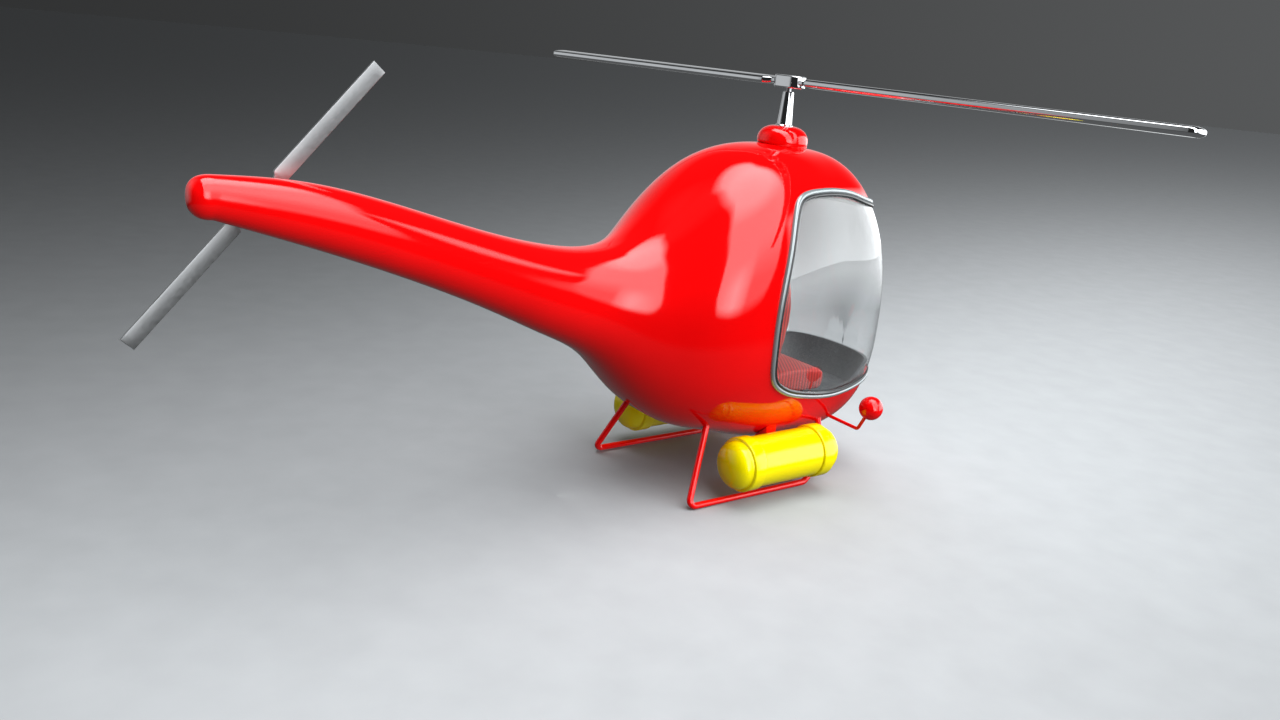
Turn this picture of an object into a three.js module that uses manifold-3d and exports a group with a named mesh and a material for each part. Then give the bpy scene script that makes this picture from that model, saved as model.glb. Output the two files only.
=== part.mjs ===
// Toy helicopter: hollow two-part fuselage with a tail boom, wrap-around windshield,
// free-turning main and tail rotors, wire skids, two side tanks and two ball lamps.
// Millimetres, +X to the nose, +Y to port, +Z up. Drawn with the mast axis at x = 0 and the
// skids standing on z = 0, then moved so that the origin is at the middle of the base.

import * as THREE from 'three';
import { mergeVertices } from 'three/addons/utils/BufferGeometryUtils.js';
import Module from 'manifold-3d';

const wasm = await Module();
wasm.setup();

// ---------------------------------------------------------------- driving sizes

const gap = 0.3;                    // clearance between pieces that touch or rest on each other

// Fuselage outline, one row for each station: x, top z, bottom z, half width
const stations = [
  [-204, 113.25, 101.25, 5.5],
  [-180, 111.5, 93.75, 8.25],
  [-150, 104.5, 83.25, 10],
  [-120, 95.75, 71, 11.5],
  [-98, 91, 60.75, 13.75],
  [-80, 89.75, 50.5, 17.5],
  [-64, 94.25, 35, 26.25],
  [-50, 105.75, 25.5, 35.25],
  [-34, 119.25, 20.75, 39.75],
  [-14, 126, 15.5, 39.75],
  [8, 125.25, 13, 35.25],
];
const noseX = 49.25;                // front end of the cabin
const noseZ = 38;                   // height of the foremost point
const noseFullness = 2.6;           // 2 is an ellipse, more is blunter
const boomEndX = -210.25;           // rear end of the boom
const boomEndFullness = 2.5;
const sectionFullness = 2.4;        // cross-sections, between an ellipse and a box
const shellWall = 1.6;

// Cabin opening, seen from the side: the outer edge of the gasket, x and z
const openingEdge = [
  [58, 43], [40, 37.6], [16, 34.8], [-6, 38.2], [-20, 42.6], [-27.5, 49.5],
  [-30.2, 64], [-29.8, 79], [-27, 93], [-22.5, 106], [-16.5, 112.4],
  [-4, 114], [12, 113], [27, 109.4], [58, 103.5],
];
const gasketWidth = 2.6;            // bead as seen from outside
const gasketProud = 1.2;            // bead above the skin
const gasketLip = 0.6;              // how far the bead laps over the skin and over the glass
const glassThickness = 1.2;

// Cabin interior
const cabinRearX = -31;
const floorZ = 31;
const floorThickness = 1.2;
const tubWall = 1.2;
// Top of the tub's wall, x and height over the floor
const sill = [[cabinRearX, 3], [28, 7.5], [37, 13.8], [noseX, 13.8]];
const bulkheadThickness = 1.6;
const bulkheadTopZ = 106;
const pedestal = { rear: -18, front: 10, halfWidth: 19, height: 4 };
const seatHalfWidth = 22;
// Side outlines of the two cushions, x and height over the pedestal, in order round the edge
const seatBase = [
  [-7.5, 0.4], [13.5, 0.4], [16.4, 1.8], [17.4, 5], [15.8, 8], [8, 9.4], [-7.4, 8.4],
];
const seatBack = [
  [-16, 1.5], [-8.8, 1], [-7.9, 8], [-6.6, 17], [-4.9, 28], [-5.1, 37], [-7.4, 46],
  [-10.4, 52], [-13.4, 53], [-15.6, 50], [-16.2, 39], [-16.6, 17],
];
const ballast = { rear: -12, front: 16, halfWidth: 9, top: 24 };

// Main rotor
const rotorZ = 148.6;               // middle of the blades
const rotorRadius = 150;
const rotorRestTurn = 2.35;         // degrees, as the blades stand at rest
const fairingRadius = 9.4;
const fairingTopZ = 132.8;
const mastTopZ = 145.1;
const mastFlangeZ = 122.9;          // top of the flange under the roof
const mastFlangeRadius = 5;
const mastFlangeThickness = 2;
const mastFootZ = 114;
const mastTopRadius = 2;
const mastBaseRadius = 2.75;
const mastTipBoreLength = 5;        // narrow bore at the mast's top, above the upper bush
const shaftRadius = 0.9;
const shaftFootZ = 108;
const runningGap = 0.1;             // shaft in bush, all round
const bushWall = 0.45;
const bushLength = 4;
const clipThickness = 1;
const clipWidth = 1.2;
const hubLength = 13;
const hubWidth = 7;
const hubHeight = 4.4;
const hubBevel = 0.4;
const hubRoof = 1;                  // metal left over the end of the shaft
const grubRadius = 0.7;
const bladeChord = 8;
const bladeThickness = 2.9;
const bladeRootHeight = 2;
const bladeRootWidth = 4;
const bladePitch = 4;               // degrees
const bladeRootStart = 2.4;         // from the mast axis to the end of the root, inside the hub
const bladeShoulder = 3.5;          // length over which the root widens to the full blade
const bladeRootClear = 1;           // root standing out of the hub before it widens
const bladeTipRounding = 2.2;
const bladePinRadius = 0.6;
const bladePinOffset = 4.4;         // from the mast axis

// Tail rotor
const tailX = -188.1;
const tailZ = 103.9;
const tailRadius = 52.8;
const tailRestTurn = 47.9;            // degrees from the X axis, seen from starboard
const tailShaftRadius = 0.75;
const tailShaftInnerY = -2;
const tailBladeStart = 9;
const tailBladeWidth = 4.7;
const tailBladeThickness = 1;
const tailRootWidth = 2.2;
const tailRootStart = 1.6;
const tailHubRadius = 4.6;
const tailHubThickness = 3;
const tailHubStandoff = 3.8;        // from the boom's side to the hub: the blades pass the boom
const tailFlangeThickness = 0.7;
const tailPinRadius = 0.4;
const tailPinOffset = 3.1;

// Skids; the starboard one is the port one mirrored
const rodRadius = 1.2;
const skidHalfTrack = 30.1;
const skidRearX = -51.2;
const skidFrontX = 6.15;
const rearStrutTop = [-39, 21.2, 29.4];
const frontKnee = [16, 28, 8.5];
const frontStrutTop = [18.5, 21.2, 22.8];
const rearBend = 2.2;
const frontBend = 4;
const strutReach = 5.6;             // how far a strut goes on inside the belly
const clipReach = 3.6;              // from the skin to the clip on the strut

// Side tanks
const tankY = 32.9;
const tankZ = 15.6;
const tankRearX = -26.8;            // ends of the plain barrel
const tankFrontX = 2;
const tankRadius = 9.3;
const tankWall = 1.2;
const capProud = 0.7;               // cap's rim outside the barrel
const capWidth = 6;
const domeInset = 0.5;              // dome's foot inside the barrel's radius
const domeLength = 5;
const spigotLength = 3;
const bracket = { rear: -16, front: -8, inner: 21, outer: 28.4, top: 34 };
const bracketPegRadius = 1.2;
const bracketPegTilt = 35;          // degrees that the peg leans inboard
const bracketPegLength = 5;

// Ball lamps, y and z at x = stalkX
const stalkRadius = 0.65;
const stalkX = 23;
const stalkRoot = [17, 23.6];
const stalkCorner = [38, 23.4];
const ballCentre = [42.8, 33.4];
const stalkBend = 1.6;
const ballRadius = 4.5;
const stalkInBall = 3;

// Screws that join the halves, x and z; their heads lie deep in the port half
const shellScrews = [[-168, 97.5], [-108, 80], [-47, 92], [33, 22.8]];
const screwRadius = 1;
const screwHeadRadius = 2;
const screwHeadHeight = 1.4;
const screwSeatY = 5.5;
const screwEndY = -6;
const bossWall = 1;

// ---------------------------------------------------------------- finishes

function finish(color, roughness, metalness) {
  return new THREE.MeshStandardMaterial({ color, roughness, metalness });
}
const red = finish(0xe00808, 0.15, 0);
const yellow = finish(0xf5e400, 0.3, 0);
const chrome = finish(0xd8d8da, 0.1, 1);
const steel = finish(0xa8a8ac, 0.3, 1);
const brass = finish(0xb8923c, 0.35, 1);
const gasketGrey = finish(0x8b9092, 0.35, 0.6);
const cabinGrey = finish(0x3a3c3c, 0.8, 0);
const seatRed = finish(0x8a1c10, 0.7, 0);
const satinGrey = finish(0xb5b7b8, 0.4, 0.3);
const zinc = finish(0x7c7f82, 0.5, 0.8);
const clear = finish(0xdfe8ea, 0.05, 0);
clear.transparent = true;
clear.opacity = 0.3;

// ---------------------------------------------------------------- solids

const V = (x, y, z) => new THREE.Vector3(x, y, z);
const rad = THREE.MathUtils.degToRad;

function closed(positions, index) {
  return new wasm.Manifold(new wasm.Mesh({
    numProp: 3,
    vertProperties: positions,
    triVerts: index,
  }));
}

function toSolid(geometry) {
  const bare = geometry.clone();
  bare.deleteAttribute('normal');
  bare.deleteAttribute('uv');
  const merged = mergeVertices(bare, 1e-4);
  return closed(
    new Float32Array(merged.attributes.position.array),
    new Uint32Array(merged.index.array),
  );
}

function toGeometry(solid) {
  const { vertProperties, triVerts } = solid.getMesh();
  const geometry = new THREE.BufferGeometry();
  geometry.setAttribute('position', new THREE.BufferAttribute(vertProperties, 3));
  geometry.setIndex(new THREE.BufferAttribute(triVerts, 1));
  geometry.computeVertexNormals();
  return geometry;
}

// A cone or cylinder between two points
function rod(from, to, radius, sides = 12, endRadius = radius) {
  const along = to.clone().sub(from);
  const geometry = new THREE.CylinderGeometry(endRadius, radius, along.length(), sides);
  const turn = new THREE.Quaternion().setFromUnitVectors(V(0, 1, 0), along.clone().normalize());
  geometry.applyQuaternion(turn);
  const middle = from.clone().lerp(to, 0.5);
  geometry.translate(middle.x, middle.y, middle.z);
  return toSolid(geometry);
}

function ring(from, to, outer, inner, sides = 14) {
  const along = to.clone().sub(from).normalize();
  const bore = rod(from.clone().sub(along), to.clone().add(along), inner, sides);
  return rod(from, to, outer, sides).subtract(bore);
}

function box(low, high) {
  const size = high.clone().sub(low);
  const geometry = new THREE.BoxGeometry(size.x, size.y, size.z);
  const middle = low.clone().lerp(high, 0.5);
  geometry.translate(middle.x, middle.y, middle.z);
  return toSolid(geometry);
}

// A solid of revolution about +Z; the profile is radius and height, from axis to axis
function turned(profile, sides = 24) {
  const points = profile.map(([r, z]) => new THREE.Vector2(r, z));
  const geometry = new THREE.LatheGeometry(points, sides);
  geometry.rotateX(Math.PI / 2);
  return toSolid(geometry);
}

function moved(solid, matrix) {
  const geometry = toGeometry(solid).applyMatrix4(matrix);
  const { array } = geometry.index;
  const index = matrix.determinant() < 0 ? array.toReversed() : array;
  return closed(geometry.attributes.position.array, index);
}

function placed(solid, position, turn = new THREE.Euler()) {
  const quaternion = new THREE.Quaternion().setFromEuler(turn);
  return moved(solid, new THREE.Matrix4().compose(position, quaternion, V(1, 1, 1)));
}

// The same piece on the other side of the centre plane
function mirrored(solid) {
  return moved(solid, new THREE.Matrix4().makeScale(1, -1, 1));
}

// A rod bent round corners: straight runs joined by arcs of the given bend radii
function bentRod(points, bends, radius, sides, arcSteps = 5) {
  const line = [points[0]];
  for (let i = 1; i < points.length - 1; i += 1) {
    const toPrevious = points[i - 1].clone().sub(points[i]).normalize();
    const toNext = points[i + 1].clone().sub(points[i]).normalize();
    const halfAngle = toPrevious.angleTo(toNext) / 2;
    const setback = bends[i - 1] / Math.tan(halfAngle);
    const start = points[i].clone().addScaledVector(toPrevious, setback);
    const end = points[i].clone().addScaledVector(toNext, setback);
    const inward = toPrevious.clone().add(toNext).normalize();
    const centre = points[i].clone().addScaledVector(inward, bends[i - 1] / Math.sin(halfAngle));
    for (let k = 0; k <= arcSteps; k += 1) {
      const spoke = start.clone().lerp(end, k / arcSteps).sub(centre).setLength(bends[i - 1]);
      line.push(centre.clone().add(spoke));
    }
  }
  line.push(points[points.length - 1]);
  return sweptTube(line, radius, sides);
}

// A closed solid through rings of points, all with the same count; a ring of one point is a pole
function skinned(rings) {
  const positions = rings.flat().flatMap((point) => [point.x, point.y, point.z]);
  const index = [];
  const sides = Math.max(...rings.map((points) => points.length));
  let start = 0;
  for (let i = 0; i < rings.length - 1; i += 1) {
    const next = start + rings[i].length;
    for (let k = 0; k < sides; k += 1) {
      const k2 = (k + 1) % sides;
      if (rings[i].length > 1) {
        index.push(start + k, start + k2, rings[i + 1].length > 1 ? next + k : next);
      }
      if (rings[i + 1].length > 1) {
        index.push(rings[i].length > 1 ? start + k2 : start, next + k2, next + k);
      }
    }
    start = next;
  }
  const first = rings[0].length;
  const last = rings[rings.length - 1].length;
  for (let k = 1; k < first - 1; k += 1) index.push(0, k + 1, k);
  for (let k = 1; k < last - 1; k += 1) index.push(start, start + k, start + k + 1);
  const geometry = new THREE.BufferGeometry();
  geometry.setAttribute('position', new THREE.Float32BufferAttribute(positions, 3));
  geometry.setIndex(index);
  if (toSolid(geometry).volume() < 0) geometry.setIndex([...index].reverse());
  return geometry;
}

// A tube through every point of a line, its sections square to the line and with a flat turned
// down, so that a level run rests on a flat. No part of the line may be upright.
function sweptTube(line, radius, sides) {
  const rings = [];
  const last = line.length - 1;
  const reach = radius / Math.cos(Math.PI / sides);
  for (let i = 0; i <= last; i += 1) {
    const along = line[Math.min(i + 1, last)].clone().sub(line[Math.max(i - 1, 0)]).normalize();
    const up = V(0, 0, 1).addScaledVector(along, -along.z).normalize();
    const across = along.clone().cross(up);
    const ringPoints = [];
    for (let k = 0; k < sides; k += 1) {
      const angle = ((k + 0.5) / sides) * 2 * Math.PI;
      ringPoints.push(line[i].clone()
        .addScaledVector(up, reach * Math.cos(angle))
        .addScaledVector(across, reach * Math.sin(angle)));
    }
    rings.push(ringPoints);
  }
  return toSolid(skinned(rings));
}

// ---------------------------------------------------------------- fuselage surface

// Natural cubic spline through the given knots; answers with the value and the slope at x
function spline(xs, ys) {
  const n = xs.length;
  const bend = new Array(n).fill(0);
  const work = new Array(n).fill(0);
  for (let i = 1; i < n - 1; i += 1) {
    const before = xs[i] - xs[i - 1];
    const after = xs[i + 1] - xs[i];
    const change = (ys[i + 1] - ys[i]) / after - (ys[i] - ys[i - 1]) / before;
    const pivot = 2 * (before + after) - before * work[i - 1];
    work[i] = after / pivot;
    bend[i] = (6 * change - before * bend[i - 1]) / pivot;
  }
  for (let i = n - 2; i > 0; i -= 1) bend[i] -= work[i] * bend[i + 1];
  return (x) => {
    let i = 0;
    while (i < n - 2 && x > xs[i + 1]) i += 1;
    const h = xs[i + 1] - xs[i];
    const a = (xs[i + 1] - x) / h;
    const b = (x - xs[i]) / h;
    const value = a * ys[i] + b * ys[i + 1]
      + ((a ** 3 - a) * bend[i] + (b ** 3 - b) * bend[i + 1]) * h * h / 6;
    const slope = (ys[i + 1] - ys[i]) / h
      + ((3 * b * b - 1) * bend[i + 1] - (3 * a * a - 1) * bend[i]) * h / 6;
    return { value, slope };
  };
}

const stationX = stations.map((row) => row[0]);
const topLine = spline(stationX, stations.map((row) => row[1]));
const bottomLine = spline(stationX, stations.map((row) => row[2]));
const widthLine = spline(stationX, stations.map((row) => row[3]));
const frontX = stationX[stationX.length - 1];
const rearX = stationX[0];

// Top, bottom and half width of the section at x. Ahead of the last station the sections
// close on the nose, and behind the first they close on the end of the boom.
function section(x) {
  if (x > frontX) {
    const u = Math.min((x - frontX) / (noseX - frontX), 1);
    const shrink = (1 - u ** noseFullness) ** (1 / noseFullness);
    const edge = (line) => line(frontX).value + line(frontX).slope * (x - frontX) * (1 - u);
    return {
      top: noseZ + (edge(topLine) - noseZ) * shrink,
      bottom: noseZ + (edge(bottomLine) - noseZ) * shrink,
      half: edge(widthLine) * shrink,
    };
  }
  if (x < rearX) {
    const u = Math.min((rearX - x) / (rearX - boomEndX), 1);
    const shrink = (1 - u ** boomEndFullness) ** (1 / boomEndFullness);
    const middle = (topLine(rearX).value + bottomLine(rearX).value) / 2;
    const half = (topLine(rearX).value - bottomLine(rearX).value) / 2;
    return {
      top: middle + half * shrink,
      bottom: middle - half * shrink,
      half: widthLine(rearX).value * shrink,
    };
  }
  return { top: topLine(x).value, bottom: bottomLine(x).value, half: widthLine(x).value };
}

// Where the sections are taken: close together at both rounded ends
function sectionPlaces(rings) {
  const places = [];
  const endRings = Math.round(rings * 0.12);
  const noseRings = Math.round(rings * 0.3);
  const bodyRings = rings - endRings - noseRings;
  for (let i = 1; i < endRings; i += 1) {
    places.push(rearX - (rearX - boomEndX) * Math.cos((i / endRings) * Math.PI / 2));
  }
  for (let i = 0; i < bodyRings; i += 1) {
    places.push(rearX + (frontX - rearX) * (i / bodyRings));
  }
  for (let i = 0; i < noseRings; i += 1) {
    places.push(frontX + (noseX - frontX) * Math.sin((i / noseRings) * Math.PI / 2));
  }
  return places;
}

// The point of a rounded outline at an angle from its top: 2 is an ellipse, more is boxier
function rounded(angle, halfWidth, halfHeight, fullness) {
  const bulge = (t) => Math.sign(t) * Math.abs(t) ** (2 / fullness);
  return [-halfWidth * bulge(Math.sin(angle)), halfHeight * bulge(Math.cos(angle))];
}

// The fuselage as a closed solid, its skin moved out by offset (in, when negative)
function fuselage(offset, ringCount = 27, sides = 24) {
  const rings = [[V(boomEndX, 0, (topLine(rearX).value + bottomLine(rearX).value) / 2)]];
  for (const x of sectionPlaces(ringCount)) {
    const { top, bottom, half } = section(x);
    const ringPoints = [];
    for (let k = 0; k < sides; k += 1) {
      const angle = (k / sides) * 2 * Math.PI;
      const [y, z] = rounded(angle, half, (top - bottom) / 2, sectionFullness);
      ringPoints.push(V(x, y, (top + bottom) / 2 + z));
    }
    rings.push(ringPoints);
  }
  rings.push([V(noseX, 0, noseZ)]);
  const geometry = skinned(rings);
  geometry.computeVertexNormals();
  const { position, normal } = geometry.attributes;
  const point = V(0, 0, 0);
  const direction = V(0, 0, 0);
  for (let i = 0; i < position.count; i += 1) {
    point.fromBufferAttribute(position, i);
    direction.fromBufferAttribute(normal, i);
    point.addScaledVector(direction, offset);
    position.setXYZ(i, point.x, point.y, point.z);
  }
  return toSolid(geometry);
}

// Half width of the skin at a place, seen from the side
function skinY(x, z) {
  const { top, bottom, half } = section(x);
  const rise = Math.abs((2 * z - top - bottom) / (top - bottom));
  return half * (1 - Math.min(rise, 1) ** sectionFullness) ** (1 / sectionFullness);
}

const outerSkin = fuselage(0);
const innerSkin = fuselage(-shellWall);
const outsideRoom = fuselage(gap);                  // what rests on the skin is cut by this
const insideRoom = fuselage(-shellWall - gap);      // what fits inside the shell is cut to this
const far = 400;                                    // further than anything reaches
const port = box(V(-far, gap / 2, -far), V(far, far, far));
const starboard = mirrored(port);

// The block behind the cabin opening's edge, its outline moved inwards by inset
function openingBlock(inset) {
  const curve = new THREE.SplineCurve(openingEdge.map(([x, z]) => new THREE.Vector2(x, z)));
  const count = 34;
  const points = [];
  for (let i = 0; i <= count; i += 1) {
    const tangent = curve.getTangent(i / count);
    points.push(curve.getPoint(i / count).add(new THREE.Vector2(tangent.y, -tangent.x)
      .multiplyScalar(inset)));
  }
  const geometry = new THREE.ExtrudeGeometry(new THREE.Shape(points), {
    depth: 2 * far,
    bevelEnabled: false,
  });
  geometry.rotateX(Math.PI / 2);
  geometry.translate(0, far, 0);
  return toSolid(geometry);
}

// ---------------------------------------------------------------- the model

const model = new THREE.Group();

function add(name, solid, material) {
  const mesh = new THREE.Mesh(toGeometry(solid), material);
  mesh.name = name;
  model.add(mesh);
}

function addPair(name, portSolid, material) {
  add(`${name}_port`, portSolid, material);
  add(`${name}_starboard`, mirrored(portSolid), material);
}

// ---------------------------------------------------------------- skid rods

// Where each strut goes through the skin, and its direction into the belly
const struts = {
  rear: { entry: V(...rearStrutTop), foot: V(skidRearX, skidHalfTrack, rodRadius) },
  front: { entry: V(...frontStrutTop), foot: V(...frontKnee) },
};
for (const strut of Object.values(struts)) {
  strut.along = strut.entry.clone().sub(strut.foot).normalize();
  strut.at = (distance) => strut.entry.clone().addScaledVector(strut.along, distance);
}

const skidRod = bentRod(
  [
    struts.rear.at(strutReach),
    struts.rear.foot,
    V(skidFrontX, skidHalfTrack, rodRadius),
    struts.front.foot,
    struts.front.at(strutReach),
  ],
  [rearBend, frontBend, frontBend],
  rodRadius,
  12,
);
addPair('skid', skidRod, red);

for (const [place, strut] of Object.entries(struts)) {
  const clip = ring(
    strut.at(clipReach),
    strut.at(clipReach + clipThickness),
    rodRadius + gap + clipWidth,
    rodRadius + gap,
    14,
  );
  addPair(`${place}_strut_clip`, clip, steel);
}

// ---------------------------------------------------------------- side tanks

const tankSides = 20;
const alongX = new THREE.Matrix4().makeRotationY(Math.PI / 2);
const tankLine = (x) => V(x, tankY, tankZ);

addPair('tank_barrel', ring(
  tankLine(tankRearX + gap / 2),
  tankLine(tankFrontX - gap / 2),
  tankRadius,
  tankRadius - tankWall,
  tankSides,
), yellow);

// The end cap about +Z, its rim on z = 0: spigot, raised rim and dome, open to the barrel
function tankCap() {
  const spigotRadius = tankRadius - tankWall - gap;
  const innerRadius = spigotRadius - tankWall;
  const capRadius = tankRadius + capProud;
  const domeRadius = tankRadius - domeInset;
  const profile = [[0, capWidth + domeLength]];
  const steps = 3;
  for (let i = 1; i <= steps; i += 1) {
    const [y, z] = rounded((-i / steps) * (Math.PI / 2), domeRadius, domeLength, 2.5);
    profile.push([y, capWidth + z]);
  }
  profile.push([capRadius - 0.4, capWidth]);
  profile.push([capRadius, capWidth - 0.8]);
  profile.push([capRadius, 0.8]);
  profile.push([capRadius - 0.4, gap / 2]);
  profile.push([spigotRadius, gap / 2]);
  profile.push([spigotRadius, -spigotLength]);
  profile.push([innerRadius, -spigotLength]);
  profile.push([innerRadius, capWidth]);
  profile.push([0, capWidth + domeLength - tankWall]);
  return turned(profile.reverse(), tankSides);
}
const cap = moved(tankCap(), alongX);
const towardsTail = new THREE.Euler(0, 0, Math.PI);
addPair('tank_front_cap', placed(cap, tankLine(tankFrontX)), yellow);
addPair('tank_rear_cap', placed(cap, tankLine(tankRearX), towardsTail), yellow);

// The saddle between tank and belly, with a peg that goes up through the skin
const bracketX = (bracket.rear + bracket.front) / 2;
const pegLean = V(0, -Math.sin(rad(bracketPegTilt)), Math.cos(rad(bracketPegTilt)));
const pegFoot = tankLine(bracketX).addScaledVector(pegLean, tankRadius + gap + 1);
const pegTop = pegFoot.clone().addScaledVector(pegLean, bracketPegLength);
const pegHole = rod(pegFoot, pegTop.clone().addScaledVector(pegLean, 5), bracketPegRadius + gap);
const saddle = box(
  V(bracket.rear, bracket.inner, tankZ),
  V(bracket.front, bracket.outer, bracket.top),
)
  .subtract(rod(tankLine(-far), tankLine(far), tankRadius + gap, tankSides))
  .subtract(outsideRoom);
addPair('tank_bracket', saddle.add(rod(pegFoot, pegTop, bracketPegRadius, 12)), red);

// ---------------------------------------------------------------- ball lamps

const atStalk = ([y, z]) => V(stalkX, y, z);
const stalkLine = [atStalk(stalkRoot), atStalk(stalkCorner), atStalk(ballCentre)];
const ballInwards = stalkLine[1].clone().sub(stalkLine[2]).normalize();
const stalkEnd = stalkLine[2].clone().addScaledVector(ballInwards, ballRadius - stalkInBall);
addPair('lamp_stalk', bentRod(
  [stalkLine[0], stalkLine[1], stalkEnd],
  [stalkBend],
  stalkRadius,
  8,
  4,
), red);
const ballGeometry = new THREE.SphereGeometry(ballRadius, 16, 11);
ballGeometry.translate(...stalkLine[2].toArray());
const ballBore = rod(
  stalkEnd.clone().addScaledVector(ballInwards, -gap),
  stalkLine[1],
  stalkRadius + gap,
  10,
);
addPair('lamp_ball', toSolid(ballGeometry).subtract(ballBore), red);

// ---------------------------------------------------------------- fuselage shells

const mastAxis = (z) => V(0, 0, z);
const tailAxis = (y) => V(tailX, y, tailZ);
const tailSkinY = skinY(tailX, tailZ);
const tailBushRadius = tailShaftRadius + runningGap + 2 * bushWall;

let shell = outerSkin.subtract(innerSkin);
for (const [x, z] of shellScrews) {
  const radius = screwHeadRadius + gap + bossWall;
  shell = shell.add(rod(V(x, -far, z), V(x, far, z), radius).intersect(outerSkin));
}
const strutHoles = Object.values(struts).map((strut) => (
  rod(strut.at(-6), strut.at(6), rodRadius + gap, 12)
));
const stalkHole = rod(stalkLine[0], stalkLine[1], stalkRadius + gap, 10);
const sideHoles = [...strutHoles, stalkHole, pegHole];
for (const hole of sideHoles) shell = shell.subtract(hole).subtract(mirrored(hole));
shell = shell
  .subtract(openingBlock(gasketLip))
  .subtract(rod(mastAxis(mastFootZ), mastAxis(rotorZ), mastBaseRadius + gap, 20))
  .subtract(rod(tailAxis(tailSkinY - 4), tailAxis(far), tailBushRadius + gap, 16));

let portShell = shell.intersect(port);
let starboardShell = shell.intersect(starboard);
for (const [x, z] of shellScrews) {
  const at = (y) => V(x, y, z);
  portShell = portShell
    .subtract(rod(at(-far), at(far), screwRadius + gap, 10))
    .subtract(rod(at(screwSeatY), at(far), screwHeadRadius + gap));
  starboardShell = starboardShell
    .subtract(rod(at(screwEndY - gap), at(far), screwRadius + gap, 10));
}
add('fuselage_port_shell', portShell, red);
add('fuselage_starboard_shell', starboardShell, red);

shellScrews.forEach(([x, z], i) => {
  const at = (y) => V(x, y, z);
  const head = rod(at(screwSeatY + gap), at(screwSeatY + gap + screwHeadHeight), screwHeadRadius);
  const slot = box(
    V(x - far, screwSeatY + gap + screwHeadHeight / 2, z - 0.3),
    V(x + far, far, z + 0.3),
  );
  const shank = rod(at(screwEndY), at(screwSeatY + gap + 0.2), screwRadius, 10);
  add(`shell_screw_${i + 1}`, head.subtract(slot).add(shank), steel);
});

// ---------------------------------------------------------------- windshield

const glass = outerSkin
  .subtract(fuselage(-glassThickness))
  .intersect(openingBlock(gasketWidth - gasketLip));
add('windshield', glass, clear);

const bead = fuselage(gasketProud)
  .subtract(outsideRoom)
  .intersect(openingBlock(0).subtract(openingBlock(gasketWidth)));
const core = fuselage(gap + 0.1)
  .subtract(innerSkin)
  .intersect(openingBlock(gasketLip + gap).subtract(openingBlock(gasketWidth - gasketLip - gap)));
add('windshield_gasket', bead.add(core), gasketGrey);

// ---------------------------------------------------------------- cabin

// A side outline, x and z, as a block between two widths
function sideBlock(outline, fromY, toY) {
  const shape = new THREE.Shape(outline.map(([x, z]) => new THREE.Vector2(x, z)));
  const geometry = new THREE.ExtrudeGeometry(shape, { depth: toY - fromY, bevelEnabled: false });
  geometry.rotateX(Math.PI / 2);
  geometry.translate(0, toY, 0);
  return toSolid(geometry);
}

const underSill = [
  [cabinRearX, floorZ - floorThickness],
  [noseX, floorZ - floorThickness],
  ...sill.toReversed().map(([x, rise]) => [x, floorZ + rise]),
];
const cabinHollow = fuselage(-shellWall - gap - tubWall)
  .intersect(box(V(-far, -far, floorZ), V(far, far, far)));
const tub = sideBlock(underSill, -far, far)
  .intersect(box(V(cabinRearX + gap, -far, 0), V(far, far, far)))
  .intersect(insideRoom)
  .subtract(cabinHollow)
  .add(box(
    V(pedestal.rear, -pedestal.halfWidth, floorZ - floorThickness / 2),
    V(pedestal.front, pedestal.halfWidth, floorZ + pedestal.height),
  ));
add('cabin_tub', tub, cabinGrey);

const bulkhead = box(
  V(cabinRearX - bulkheadThickness, -far, -far),
  V(cabinRearX, far, bulkheadTopZ),
).intersect(insideRoom);
add('cabin_bulkhead', bulkhead, cabinGrey);

const pedestalTop = floorZ + pedestal.height;
for (const [name, outline] of [['seat_base', seatBase], ['seat_back', seatBack]]) {
  const raised = outline.map(([x, rise]) => [x, pedestalTop + rise]);
  add(`${name}_cushion`, sideBlock(raised, -seatHalfWidth, seatHalfWidth), seatRed);
}

// The ballast lies on the floor of the shell, under the tub
add('nose_ballast', box(
  V(ballast.rear, -ballast.halfWidth, 0),
  V(ballast.front, ballast.halfWidth, ballast.top),
).intersect(insideRoom), zinc);

// ---------------------------------------------------------------- mast and main rotor

const fairingProfile = [[0, mastFlangeZ], [fairingRadius, mastFlangeZ]];
const crown = 5.5;
for (let i = 0; i <= 5; i += 1) {
  const [y, z] = rounded((-(5 - i) / 5) * (Math.PI / 2), fairingRadius - mastBaseRadius, crown, 2.2);
  fairingProfile.push([mastBaseRadius + y, fairingTopZ - crown + z]);
}
fairingProfile.push([0, fairingTopZ]);
const mastHole = rod(mastAxis(mastFootZ - 1), mastAxis(rotorZ), mastBaseRadius + gap, 20);
add('rotor_fairing', turned(fairingProfile, 24).subtract(outsideRoom).subtract(mastHole), red);

const bushRadius = shaftRadius + runningGap + bushWall;
const upperBushTop = mastTopZ - mastTipBoreLength - gap;
const mastOutside = turned([
  [0, mastFootZ],
  [mastBaseRadius, mastFootZ],
  [mastBaseRadius, mastFlangeZ - mastFlangeThickness],
  [mastFlangeRadius, mastFlangeZ - mastFlangeThickness],
  [mastFlangeRadius, mastFlangeZ],
  [mastBaseRadius, mastFlangeZ],
  [mastBaseRadius, fairingTopZ],
  [mastTopRadius, mastTopZ - 0.4],
  [mastTopRadius - 0.25, mastTopZ],
  [0, mastTopZ],
], 20);
const mastBore = rod(mastAxis(0), mastAxis(upperBushTop + gap), bushRadius + gap / 2, 20)
  .add(rod(mastAxis(0), mastAxis(far), shaftRadius + gap, 16));
add('mast_tube', mastOutside.subtract(mastBore), chrome);

const bush = (topZ) => (
  ring(mastAxis(topZ - bushLength), mastAxis(topZ), bushRadius, shaftRadius + runningGap, 16)
);
add('upper_bush', bush(upperBushTop), brass);
add('lower_bush', bush(mastFootZ + bushLength), brass);

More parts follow.
